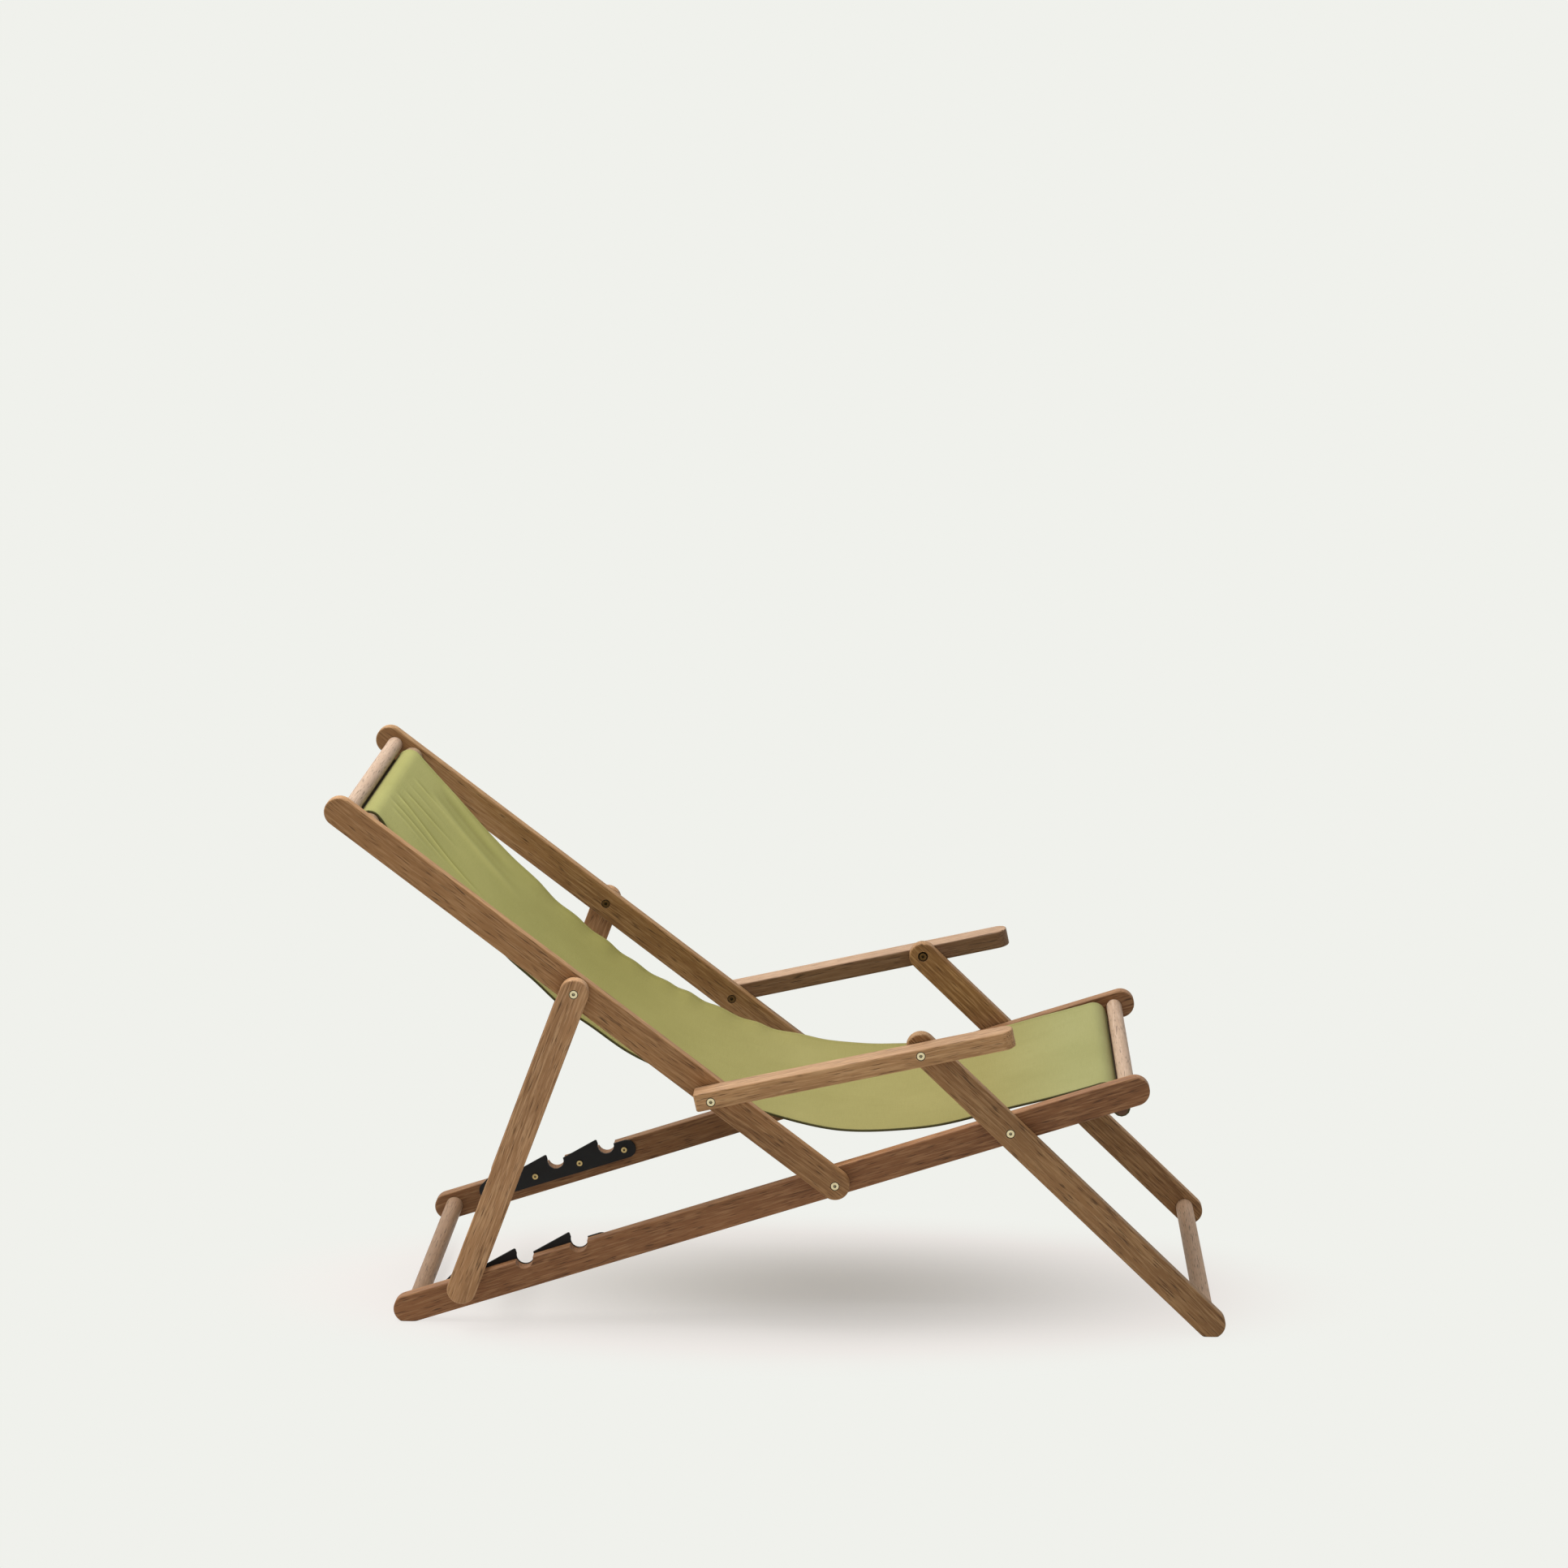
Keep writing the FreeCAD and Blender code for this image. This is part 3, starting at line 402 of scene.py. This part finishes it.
# Each kind of member: its turn, its tones and where it was cut from the grain
members = {
    "seat_rail": (along(SEAT_HEADING), SEAT_TONES, (0.0, 0.0, 0.0)),
    "back_rail": (along(BACK_HEADING), RAIL_TONES, (0.7, 0.3, 0.1)),
    "front_leg": (along(LEG_HEADING), RAIL_TONES, (1.9, 0.1, 0.6)),
    "prop_leg": (along(PROP_HEADING), RAIL_TONES, (2.6, 0.8, 0.2)),
    "armrest": (along(ARM_HEADING), ARM_TONES, (3.3, 0.2, 0.9)),
}
# Painted light on the faces that look up: factors for the boards, and none for the round pieces
RAIL_TOP_LIGHT = (1.25, 1.30, 1.40)
NO_TOP_LIGHT = (1.0, 1.0, 1.0)
# How much of the finish is rubbed off the edges
WORN_BOARD = 0.75
WORN_DOWEL = 0.4
# Each board's tint, partly its own tone and partly painted light and shade for how lit it looks where it stands,
# how far on in the grain it was cut, and how much painted light its upper faces get
boards = {
    "seat_rail_left": ((0.97, 0.97, 0.90), 0.0, RAIL_TOP_LIGHT),
    "seat_rail_right": ((1.04, 0.99, 0.88), 0.43, RAIL_TOP_LIGHT),
    "back_rail_left": ((0.98, 1.00, 0.85), 0.0, RAIL_TOP_LIGHT),
    "back_rail_right": ((1.10, 1.09, 0.93), 0.43, RAIL_TOP_LIGHT),
    "front_leg_left": ((1.17, 1.19, 1.07), 0.0, RAIL_TOP_LIGHT),
    "front_leg_right": ((1.07, 1.10, 0.97), 0.43, RAIL_TOP_LIGHT),
    "prop_leg_left": ((1.07, 1.07, 0.97), 0.0, RAIL_TOP_LIGHT),
    "prop_leg_right": ((1.39, 1.45, 1.42), 0.43, RAIL_TOP_LIGHT),
    # The left armrest: its sides are darkened as painted shade, and its top is made much lighter as painted light.
    "armrest_left": ((0.51, 0.48, 0.46), 0.0, (2.20, 2.50, 2.90)),
    "armrest_right": ((1.16, 1.09, 0.86), 0.43, (1.00, 1.05, 1.25)),
}
for member, (turn, tones, offset) in members.items():
    for side in ("left", "right"):
        tint, shift, top_light = boards[f"{member}_{side}"]
        own_place = tuple(c + shift for c in offset)
        finish = wood(f"{member}_{side}_wood", turn, tinted(tones, tint), own_place, WORN_BOARD, top_light)
        dress(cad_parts[f"{member}_{side}"], finish)
# Round pieces and their tints
dowels = {
    "front_dowel": (1.07, 1.06, 1.07),
    "rear_dowel": (0.70, 0.62, 0.56),
    "top_dowel": (0.93, 0.93, 0.95),
    "foot_dowel": (1.18, 1.10, 1.04),
    "prop_bar": (0.80, 0.75, 0.70),
    # The sling dowels are darkened, partly as their own tone and partly as painted shade against the light on their
    # upward ends.
    "seat_sling_dowel": (0.66, 0.62, 0.52),
    "back_sling_dowel": (0.66, 0.62, 0.52),
    "seat_hem_rod": (0.30, 0.22, 0.17),
    "back_hem_rod": (0.30, 0.22, 0.17),
}
for number, (dowel, tint) in enumerate(dowels.items()):
    cut_from = (4.1, 0.4 + 0.3 * number, 0.3)
    finish = wood(f"{dowel}_wood", ACROSS, tinted(DOWEL_TONES, tint), cut_from, WORN_DOWEL, NO_TOP_LIGHT)
    dress(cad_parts[dowel], finish)


def metal(name, colour, tarnish, rough, metallic, patch_scale, edge_share, shade_reach):
    """Plated, coated or moulded small parts with uneven gloss, worn edges and painted shade in their sockets and
    corners.
    """
    material, tree, shader = finish_material(name)
    object_place = tree.add("ShaderNodeTexCoord").outputs["Object"]
    patches = place(tree, "dull_patches", {"Vector": object_place, "Scale": patch_scale})
    edges = place(tree, "rubbed_edges", {"Vector": object_place, "Reach": 0.0006})
    tone = tree.mix(tree.ramp(patches.outputs["Patch"], 0.35, 0.7), colour, tarnish)
    bright = [min(1.0, 1.6 * c + 0.02) for c in colour[:3]] + [1.0]
    tone = tree.mix(tree.math("MULTIPLY", edges.outputs["Mask"], edge_share), tone, bright)
    # Painted shade in the sockets and corners.
    shade_in_corners = place(tree, "painted_corner_shade", {"Reach": shade_reach, "Start": 0.90})
    tone = tree.mix(tree.math("MULTIPLY", shade_in_corners.outputs["Mask"], 0.96), tone, METAL_CORNER_SHADE)
    tree.join(tone, shader.inputs["Base Color"])
    tree.join(tree.ramp(patches.outputs["Patch"], 0.3, 0.7, *rough), shader.inputs["Roughness"])
    shader.inputs["Metallic"].default_value = metallic
    shader.inputs["Specular IOR Level"].default_value = 0.3
    bump = tree.add("ShaderNodeBump", {"Height": patches.outputs["Fleck"], "Strength": 0.15, "Distance": 0.0002})
    tree.join(bump.outputs["Normal"], shader.inputs["Normal"])
    return material


# How far the painted shade reaches out of a bolt's socket and out of a plain corner
SOCKET_REACH = 0.0040
CORNER_REACH = 0.0016
plated_brass = metal(
    "plated_brass", (0.80, 0.70, 0.46, 1.0), tarnish=(0.66, 0.55, 0.32, 1.0), rough=(0.28, 0.45),
    metallic=1.0, patch_scale=240.0, edge_share=0.1, shade_reach=SOCKET_REACH,
)
screw_brass = metal(
    "screw_brass", (0.62, 0.48, 0.22, 1.0), tarnish=(0.45, 0.33, 0.14, 1.0), rough=(0.25, 0.42),
    metallic=1.0, patch_scale=240.0, edge_share=0.1, shade_reach=SOCKET_REACH,
)
# The nuts' brass is darkened as painted shade, for nuts that sit in shade.
shade_darkened_brass = metal(
    "shade_darkened_brass", (0.150, 0.088, 0.036, 1.0), tarnish=(0.095, 0.054, 0.022, 1.0), rough=(0.42, 0.60),
    metallic=1.0, patch_scale=240.0, edge_share=0.1, shade_reach=SOCKET_REACH,
)
black_coat = metal(
    "black_coat", (0.0045, 0.0045, 0.005, 1.0), tarnish=(0.009, 0.008, 0.008, 1.0), rough=(0.55, 0.70),
    metallic=0.0, patch_scale=70.0, edge_share=0.5, shade_reach=CORNER_REACH,
)
dark_nylon = metal(
    "dark_nylon", (0.05, 0.045, 0.04, 1.0), tarnish=(0.07, 0.062, 0.055, 1.0), rough=(0.50, 0.65),
    metallic=0.0, patch_scale=200.0, edge_share=0.5, shade_reach=CORNER_REACH,
)
for name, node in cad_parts.items():
    finish = None
    if name.endswith("bolts") or "_bolt_" in name:
        finish = plated_brass
    elif name.endswith("nuts") or "_nut_" in name:
        finish = shade_darkened_brass
    elif name.startswith("rack_screws"):
        finish = screw_brass
    elif name.startswith("rack_plate"):
        finish = black_coat
    elif "washer" in name:
        finish = dark_nylon
    if finish:
        dress(node, finish)


# Sling


def heading(angle):
    """Direction in the side view."""
    return np.array([math.cos(math.radians(angle)), math.sin(math.radians(angle))])


def turn_way(first, last):
    """Way along an arc of radius 1 that turns from one direction to another."""
    start, end = math.radians(first), math.radians(last)
    return np.array([math.sin(end) - math.sin(start), math.cos(start) - math.cos(end)])


def sling_path():
    """Points of the sling's line in the side view, from the back hem to the seat hem, the left normals, and
    the numbers of the points where the line leaves the top roll and reaches the front roll."""
    along_seat, along_back = heading(SEAT_HEADING), heading(BACK_HEADING)
    face_seat, face_back = heading(SEAT_HEADING + 90), heading(BACK_HEADING - 90)
    front_dowel = BACK_PIVOT + along_seat * (SEAT_FRONT - DOWEL_INSET)
    top_dowel = BACK_PIVOT + along_back * (BACK_TOP - DOWEL_INSET)
    seat_roll = front_dowel - along_seat * SLING_DOWEL_PITCH + face_seat * SLING_DOWEL_RISE
    back_roll = top_dowel - along_back * SLING_DOWEL_PITCH + face_back * SLING_DOWEL_RISE
    wrap = SLING_DOWEL_RADIUS + SLING_GAP + SLING_LINE
    seat_loop = SEAT_HEM_RADIUS + SLING_GAP + SLING_LINE
    back_loop = BACK_HEM_RADIUS + SLING_GAP + SLING_LINE
    seat_drop = SLING_DOWEL_RISE + SEAT_HEM_DROP
    back_drop = SLING_DOWEL_RISE + BACK_HEM_DROP
    seat_rod = seat_roll + along_seat * wrap - face_seat * seat_drop
    back_rod = back_roll + along_back * wrap - face_back * back_drop
    start = back_roll + heading(SLING_TOP_ANGLE + 90) * wrap
    end = seat_roll + heading(SLING_FRONT_ANGLE + 90) * wrap
    rest = end - start - turn_way(SLING_BACK_ANGLE, SLING_HIP_ANGLE) * SLING_BACK_RADIUS
    rest = rest - turn_way(SLING_HIP_ANGLE, SLING_KNEE_ANGLE) * SLING_SEAT_RADIUS
    ways = np.stack([turn_way(SLING_TOP_ANGLE, SLING_BACK_ANGLE), turn_way(SLING_KNEE_ANGLE, SLING_FRONT_ANGLE)], 1)
    upper, lower = np.linalg.solve(ways, rest)
    points, normals = [], []

    def arc(centre, radius, first, last, inward):
        """inward is 1 where the left side of the line faces the arc's centre, else -1."""
        count = max(2, int(abs(math.radians(last - first)) * radius / SLING_STEP) + 1)
        for angle in np.linspace(first, last, count, endpoint=False):
            points.append(centre + heading(angle) * radius)
            normals.append(-heading(angle) * inward)

    def run(first, last):
        way = last - first
        length = np.linalg.norm(way)
        side = np.array([-way[1], way[0]]) / length
        for share in np.linspace(0, 1, max(2, int(length / SLING_STEP) + 1), endpoint=False):
            points.append(first + way * share)
            normals.append(side)

    back_up = BACK_HEADING - 90
    seat_up = SEAT_HEADING + 90
    arc(back_rod, back_loop, back_up - 330, back_up, 1)
    run(back_rod + face_back * back_loop, back_rod + face_back * back_drop)
    arc(back_roll, wrap, BACK_HEADING, SLING_TOP_ANGLE + 90, -1)
    here = start
    first_hung = len(points)
    sweeps = (
        (upper, SLING_TOP_ANGLE, SLING_BACK_ANGLE),
        (SLING_BACK_RADIUS, SLING_BACK_ANGLE, SLING_HIP_ANGLE),
        (SLING_SEAT_RADIUS, SLING_HIP_ANGLE, SLING_KNEE_ANGLE),
        (lower, SLING_KNEE_ANGLE, SLING_FRONT_ANGLE),
    )
    for radius, first, last in sweeps:
        arc(here + heading(first + 90) * radius, radius, first - 90, last - 90, 1)
        here = here + turn_way(first, last) * radius
    last_hung = len(points)
    arc(seat_roll, wrap, SLING_FRONT_ANGLE + 90, SEAT_HEADING, -1)
    run(seat_rod + face_seat * seat_drop, seat_rod + face_seat * seat_loop)
    arc(seat_rod, seat_loop, seat_up, seat_up + 330, 1)
    return np.array(points), np.array(normals), (first_hung, last_hung)


def smooth_step(value, low, high):
    share = np.clip((value - low) / (high - low), 0, 1)
    return share * share * (3 - 2 * share)


def wavy(value, table):
    """Smooth curve through the (place, height) pairs of a table."""
    places, heights = np.array(table).T
    slot = np.clip(np.searchsorted(places, value) - 1, 0, len(places) - 2)
    share = smooth_step(value, places[slot], places[slot + 1])
    return heights[slot] + (heights[slot + 1] - heights[slot]) * share


def sling_folds(across, down):
    """Ridges (towards 1) and hollows (towards -1) that hang from the top roll."""
    pull = np.zeros_like(across)
    for place_across, width, depth, slant, top, fade in FOLDS:
        below_roll = smooth_step(down, top, top + 0.03) * (1 - smooth_step(down, fade, fade + 0.08))
        line = across - place_across - slant * (down - 0.05)
        ridge = np.exp(-((line / width) ** 2))
        hollow = np.exp(-(((line - 1.9 * width) / (0.9 * width)) ** 2))
        pull += depth * (ridge - 0.8 * hollow) * below_roll
    return pull


def sling_relief(across, down, length):
    """How far the cloth stands off its line: lifted edges, folds at both rolls, broad waves and the hollow."""
    hung = smooth_step(down, 0.0, 0.03) * (1 - smooth_step(down, length - 0.03, length))
    free = smooth_step(down, 0.02, 0.14) * (1 - smooth_step(down, length - 0.20, length - 0.03))
    edge_far = SLING_HALF_WIDTH - across
    edge_near = SLING_HALF_WIDTH + across
    relief = wavy(down, FAR_EDGE) * np.exp(-((edge_far / FAR_EDGE_REACH) ** 2)) * hung
    relief += wavy(down, NEAR_EDGE) * np.exp(-((edge_near / NEAR_EDGE_REACH) ** 2)) * hung
    droop = smooth_step(down, 0.004, 0.03) * (1 - smooth_step(down, 0.07, 0.16))
    relief -= DROOP * droop * np.exp(-((edge_near / DROOP_REACH) ** 2))
    relief += FOLD_HEIGHT * sling_folds(across, down)
    front = length - down
    before_front = smooth_step(front, 0.012, 0.05) * (1 - smooth_step(front, 0.10, 0.24))
    for place_across, width, depth, slant in FRONT_FOLDS:
        line = across - place_across - slant * front
        relief += FRONT_FOLD_HEIGHT * depth * np.exp(-((line / width) ** 2)) * before_front
    broad = np.sin(across * 14 + 0.7) * np.sin(down * 9 + 0.5) + 0.6 * np.sin(across * 23 - down * 13 + 1.7)
    relief += BROAD_WAVES * broad * free
    hollow = 1 - (across / SLING_HALF_WIDTH) ** 2
    relief -= SLING_HOLLOW * hollow * free
    return relief


def sling_thickness(across):
    """Half the cloth's thickness: more in the side hems, drawn in at their seams and rounded off at the rims."""
    edge = SLING_HALF_WIDTH - np.abs(across)
    hem = 1 - smooth_step(edge, HEM_FULL, HEM_END)
    seam = np.exp(-(((edge - SEAM_INSET) / SEAM_HALF_WIDTH) ** 2))
    rounded = np.sqrt(np.clip(1 - (1 - np.clip(edge / RIM_ROUND, 0, 1)) ** 2, 0.25, 1))
    return SLING_HALF_THICK * (1 + 1.5 * hem - 0.35 * seam) * rounded


def sling_faces(rows, columns):
    """Faces of the upper side, of the under side and of the rim that joins them."""
    count = rows * columns
    index = np.arange(count).reshape(rows, columns)
    face = np.stack([index[:-1, :-1], index[:-1, 1:], index[1:, 1:], index[1:, :-1]], -1).reshape(-1, 4)
    back = face[:, ::-1] + count
    loop = np.concatenate([index[0, :], index[1:, -1], index[-1, -2::-1], index[-2:0:-1, 0]])
    following = np.roll(loop, -1)
    rim = np.stack([following, loop, loop + count, following + count], -1)
    return np.concatenate([face, back, rim])


def make_sling():
    """The cloth, its whole length, and where its hung stretch starts and how long that is."""
    line, normal, (first_hung, last_hung) = sling_path()
    steps = np.linalg.norm(np.diff(line, axis=0), axis=1)
    run_line = np.concatenate([[0.0], np.cumsum(steps)])
    inner = np.linspace(-SLING_HALF_WIDTH + INNER_INSET, SLING_HALF_WIDTH - INNER_INSET, INNER_LANES)
    hem = np.array(HEM_LANES)
    lanes = np.concatenate([-SLING_HALF_WIDTH + hem, inner, (SLING_HALF_WIDTH - hem)[::-1]])
    run, across = np.meshgrid(run_line, lanes, indexing="ij")
    hung_length = run_line[last_hung] - run_line[first_hung]
    down = run - run_line[first_hung]
    relief = sling_relief(across, down, hung_length)
    thick = sling_thickness(across)
    vertices, cloth = [], []
    for sign in (1, -1):
        offset = relief + sign * thick
        x = line[:, 0][:, None] + normal[:, 0][:, None] * offset
        z = line[:, 1][:, None] + normal[:, 1][:, None] * offset
        vertices.append(np.stack([x, across, z], -1).reshape(-1, 3))
        cloth.append(np.stack([across, run, np.zeros_like(run)], -1).reshape(-1, 3))
    mesh = bpy.data.meshes.new("sling_cloth")
    mesh.from_pydata(np.concatenate(vertices).tolist(), [], sling_faces(*run.shape).tolist())
    mesh.validate()
    mesh.update()
    store = mesh.attributes.new("cloth_place", "FLOAT_VECTOR", "POINT")
    store.data.foreach_set("vector", np.concatenate(cloth).astype(np.float32).ravel())
    fold = mesh.attributes.new("fold", "FLOAT", "POINT")
    fold.data.foreach_set("value", np.tile(sling_folds(across, down).ravel(), 2).astype(np.float32))
    mesh.polygons.foreach_set("use_smooth", np.ones(len(mesh.polygons), bool))
    piece = bpy.data.objects.new("sling_cloth", mesh)
    bpy.context.collection.objects.link(piece)
    return piece, float(run_line[-1]), (float(run_line[first_hung]), float(hung_length))


def sling_finish(hung_from, hung_length):
    """Green plain weave with a turned side hem, its stitches and uneven fading, and painted light and shade along
    the cloth, on its folds and at its rim.
    """
    material, tree, shader = finish_material("sling_canvas")
    cloth = tree.add("ShaderNodeAttribute", attribute_name="cloth_place").outputs["Vector"]
    weave = place(tree, "plain_weave", {"Cloth": cloth})
    parts = tree.add("ShaderNodeSeparateXYZ", {"Vector": cloth})
    on_roll = hung_from - TONE_LEAD
    way = tree.math("DIVIDE", tree.math("SUBTRACT", parts.outputs["Y"], on_roll), hung_length + TONE_LEAD)
    # Tone along the cloth: partly its own, and partly painted shade round the top roll and on the lower back and
    # painted light below the roll.
    tones = tree.add("ShaderNodeValToRGB", {"Fac": way})
    stops = tones.color_ramp.elements
    for number, (share, tone) in enumerate(CLOTH_TONE_AND_PAINTED_LIGHT):
        stop = stops[number] if number < 2 else stops.new(share)
        stop.position = share
        stop.color = tone + (1.0,)
    fade = tree.ramp(tree.noise(cloth, 7.0, 3.0), 0.3, 0.7)
    colour = tree.mix(fade, tones.outputs["Color"], FADED, "MULTIPLY")
    slubs = tree.ramp(weave.outputs["Tone"], 0.35, 0.68)
    colour = tree.mix(slubs, colour, SLUBBED, "MULTIPLY")
    colour = tree.mix(tree.math("MULTIPLY", weave.outputs["Gap"], 0.5), colour, GAP_TONE)
    fold = tree.add("ShaderNodeAttribute", attribute_name="fold").outputs["Fac"]
    # Painted light on the fold ridges and painted shade in the fold hollows.
    colour = tree.mix(tree.ramp(fold, 0.0, 1.0), colour, RIDGE_PAINTED_LIGHT, "MULTIPLY")
    colour = tree.mix(tree.ramp(fold, 0.0, -1.0), colour, HOLLOW_PAINTED_SHADE, "MULTIPLY")
    edge = tree.math("SUBTRACT", SLING_HALF_WIDTH, tree.math("ABSOLUTE", parts.outputs["X"]))
    off_seam = tree.math("ABSOLUTE", tree.math("SUBTRACT", edge, SEAM_INSET))
    on_seam = tree.ramp(off_seam, 0.0006, 0.00035)
    phase = tree.math("FRACT", tree.math("DIVIDE", parts.outputs["Y"], STITCH_PITCH))
    dash = tree.ramp(tree.math("ABSOLUTE", tree.math("SUBTRACT", phase, 0.5)), 0.40, 0.34)
    stitch = tree.math("MULTIPLY", on_seam, dash)
    colour = tree.mix(tree.math("MULTIPLY", stitch, 0.75), colour, STITCH_TONE)
    # Painted shade along both rims of the cloth.
    rim = tree.ramp(edge, 0.0030, 0.0008)
    colour = tree.mix(tree.math("MULTIPLY", rim, 0.85), colour, RIM_PAINTED_SHADE)
    tree.join(colour, shader.inputs["Base Color"])
    tree.join(tree.ramp(weave.outputs["Tone"], 0.3, 0.7, 0.78, 0.9), shader.inputs["Roughness"])
    shader.inputs["Specular IOR Level"].default_value = 0.1
    shader.inputs["Sheen Weight"].default_value = 0.04
    shader.inputs["Sheen Roughness"].default_value = 0.5
    height = tree.math("ADD", weave.outputs["Height"], tree.math("MULTIPLY", stitch, 2.0))
    bump = tree.add("ShaderNodeBump", {"Height": height, "Strength": 0.3, "Distance": 0.0003})
    tree.join(bump.outputs["Normal"], shader.inputs["Normal"])
    return material


sling, sling_length, hung = make_sling()
sling.data.materials.append(sling_finish(*hung))
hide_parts("sling")
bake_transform(sling)


# Floor, light and camera


def pale_rays(tree):
    """1 for rays that should see the pale ground itself."""
    path = tree.add("ShaderNodeLightPath")
    seen = tree.math("MAXIMUM", path.outputs["Is Camera Ray"], path.outputs["Is Glossy Ray"])
    return tree.math("MAXIMUM", seen, path.outputs["Is Transmission Ray"])


def make_floor():
    """Pale floor that glows by itself, less so in a painted, warm-tinted shadow ellipse under the lounger."""
    mesh = bpy.data.meshes.new("floor")
    corners = [(FLOOR_HALF * x, FLOOR_HALF * y, 0.0) for x, y in ((-1, -1), (1, -1), (1, 1), (-1, 1))]
    mesh.from_pydata(corners, [], [(0, 1, 2, 3)])
    floor = bpy.data.objects.new("floor", mesh)
    bpy.context.collection.objects.link(floor)
    material, tree, shader = finish_material("pale_floor")
    shader.inputs["Base Color"].default_value = (0.800, 0.785, 0.765, 1.0)
    shader.inputs["Roughness"].default_value = 0.9
    shader.inputs["Specular IOR Level"].default_value = 0.0
    place_here = tree.add("ShaderNodeNewGeometry").outputs["Position"]
    under_seat = tree.add(
        "ShaderNodeMapping", {"Vector": place_here, "Location": SHADE_SHIFT, "Scale": SHADE_STRETCH}
    ).outputs["Vector"]
    reach = tree.add("ShaderNodeVectorMath", {0: under_seat}, operation="LENGTH").outputs["Value"]
    # Painted shadow: the floor's glow drops inside the ellipse, so the shadow shows only there.
    far = tree.add(
        "ShaderNodeMapRange",
        {"Value": reach, "From Min": SHADE_START, "From Max": SHADE_END, "To Min": SHADE_GLOW, "To Max": 1.0},
        interpolation_type="SMOOTHSTEP",
    ).outputs["Result"]
    share = tree.math("MULTIPLY", pale_rays(tree), far)
    # Painted shadow colour: the glow is tinted warm in the middle of the ellipse.
    shade = tree.mix(tree.ramp(far, 0.85, 1.0), SHADE_TINT, PALE)
    glow = tree.add("ShaderNodeEmission", {"Color": shade, "Strength": 1.0}).outputs["Emission"]
    both = tree.add("ShaderNodeMixShader", {0: share, 1: shader.outputs["BSDF"], 2: glow})
    out = material.node_tree.nodes["Material Output"]
    tree.join(both.outputs["Shader"], out.inputs["Surface"])
    mesh.materials.append(material)


def make_sky():
    """Even light from all round, seen as the floor's tone."""
    world = bpy.data.worlds.new("studio")
    world.use_nodes = True
    tree = Tree(world.node_tree)
    ambient = tree.add("ShaderNodeBackground", {"Color": (1.0, 0.99, 0.98, 1.0), "Strength": AMBIENT})
    seen = tree.add("ShaderNodeBackground", {"Color": PALE, "Strength": 1.0})
    both = tree.add(
        "ShaderNodeMixShader",
        {0: pale_rays(tree), 1: ambient.outputs["Background"], 2: seen.outputs["Background"]},
    )
    tree.join(both.outputs["Shader"], world.node_tree.nodes["World Output"].inputs["Surface"])
    bpy.context.scene.world = world


def make_lamp(name, spot, aim, width, depth, power):
    lamp = bpy.data.lights.new(name, "AREA")
    lamp.shape = "RECTANGLE"
    lamp.size = width
    lamp.size_y = depth
    lamp.energy = power
    holder = bpy.data.objects.new(name, lamp)
    holder.location = spot
    way = np.array(aim) - np.array(spot)
    flat = math.hypot(way[0], way[1])
    holder.rotation_euler = (math.atan2(flat, -way[2]), 0.0, math.atan2(-way[0], way[1]))
    bpy.context.collection.objects.link(holder)


def make_camera():
    data = bpy.data.cameras.new("camera")
    data.lens = CAMERA_LENS
    data.sensor_width = CAMERA_SENSOR
    camera = bpy.data.objects.new("camera", data)
    camera.location = CAMERA_PLACE
    camera.rotation_euler = (math.radians(90 - CAMERA_DIP), 0.0, math.radians(CAMERA_TURN))
    bpy.context.collection.objects.link(camera)
    bpy.context.scene.camera = camera


make_floor()
make_sky()
for lamp_name, lamp_values in LAMPS.items():
    make_lamp(lamp_name, *lamp_values)
make_camera()
bpy.context.scene.view_settings.view_transform = "Standard"
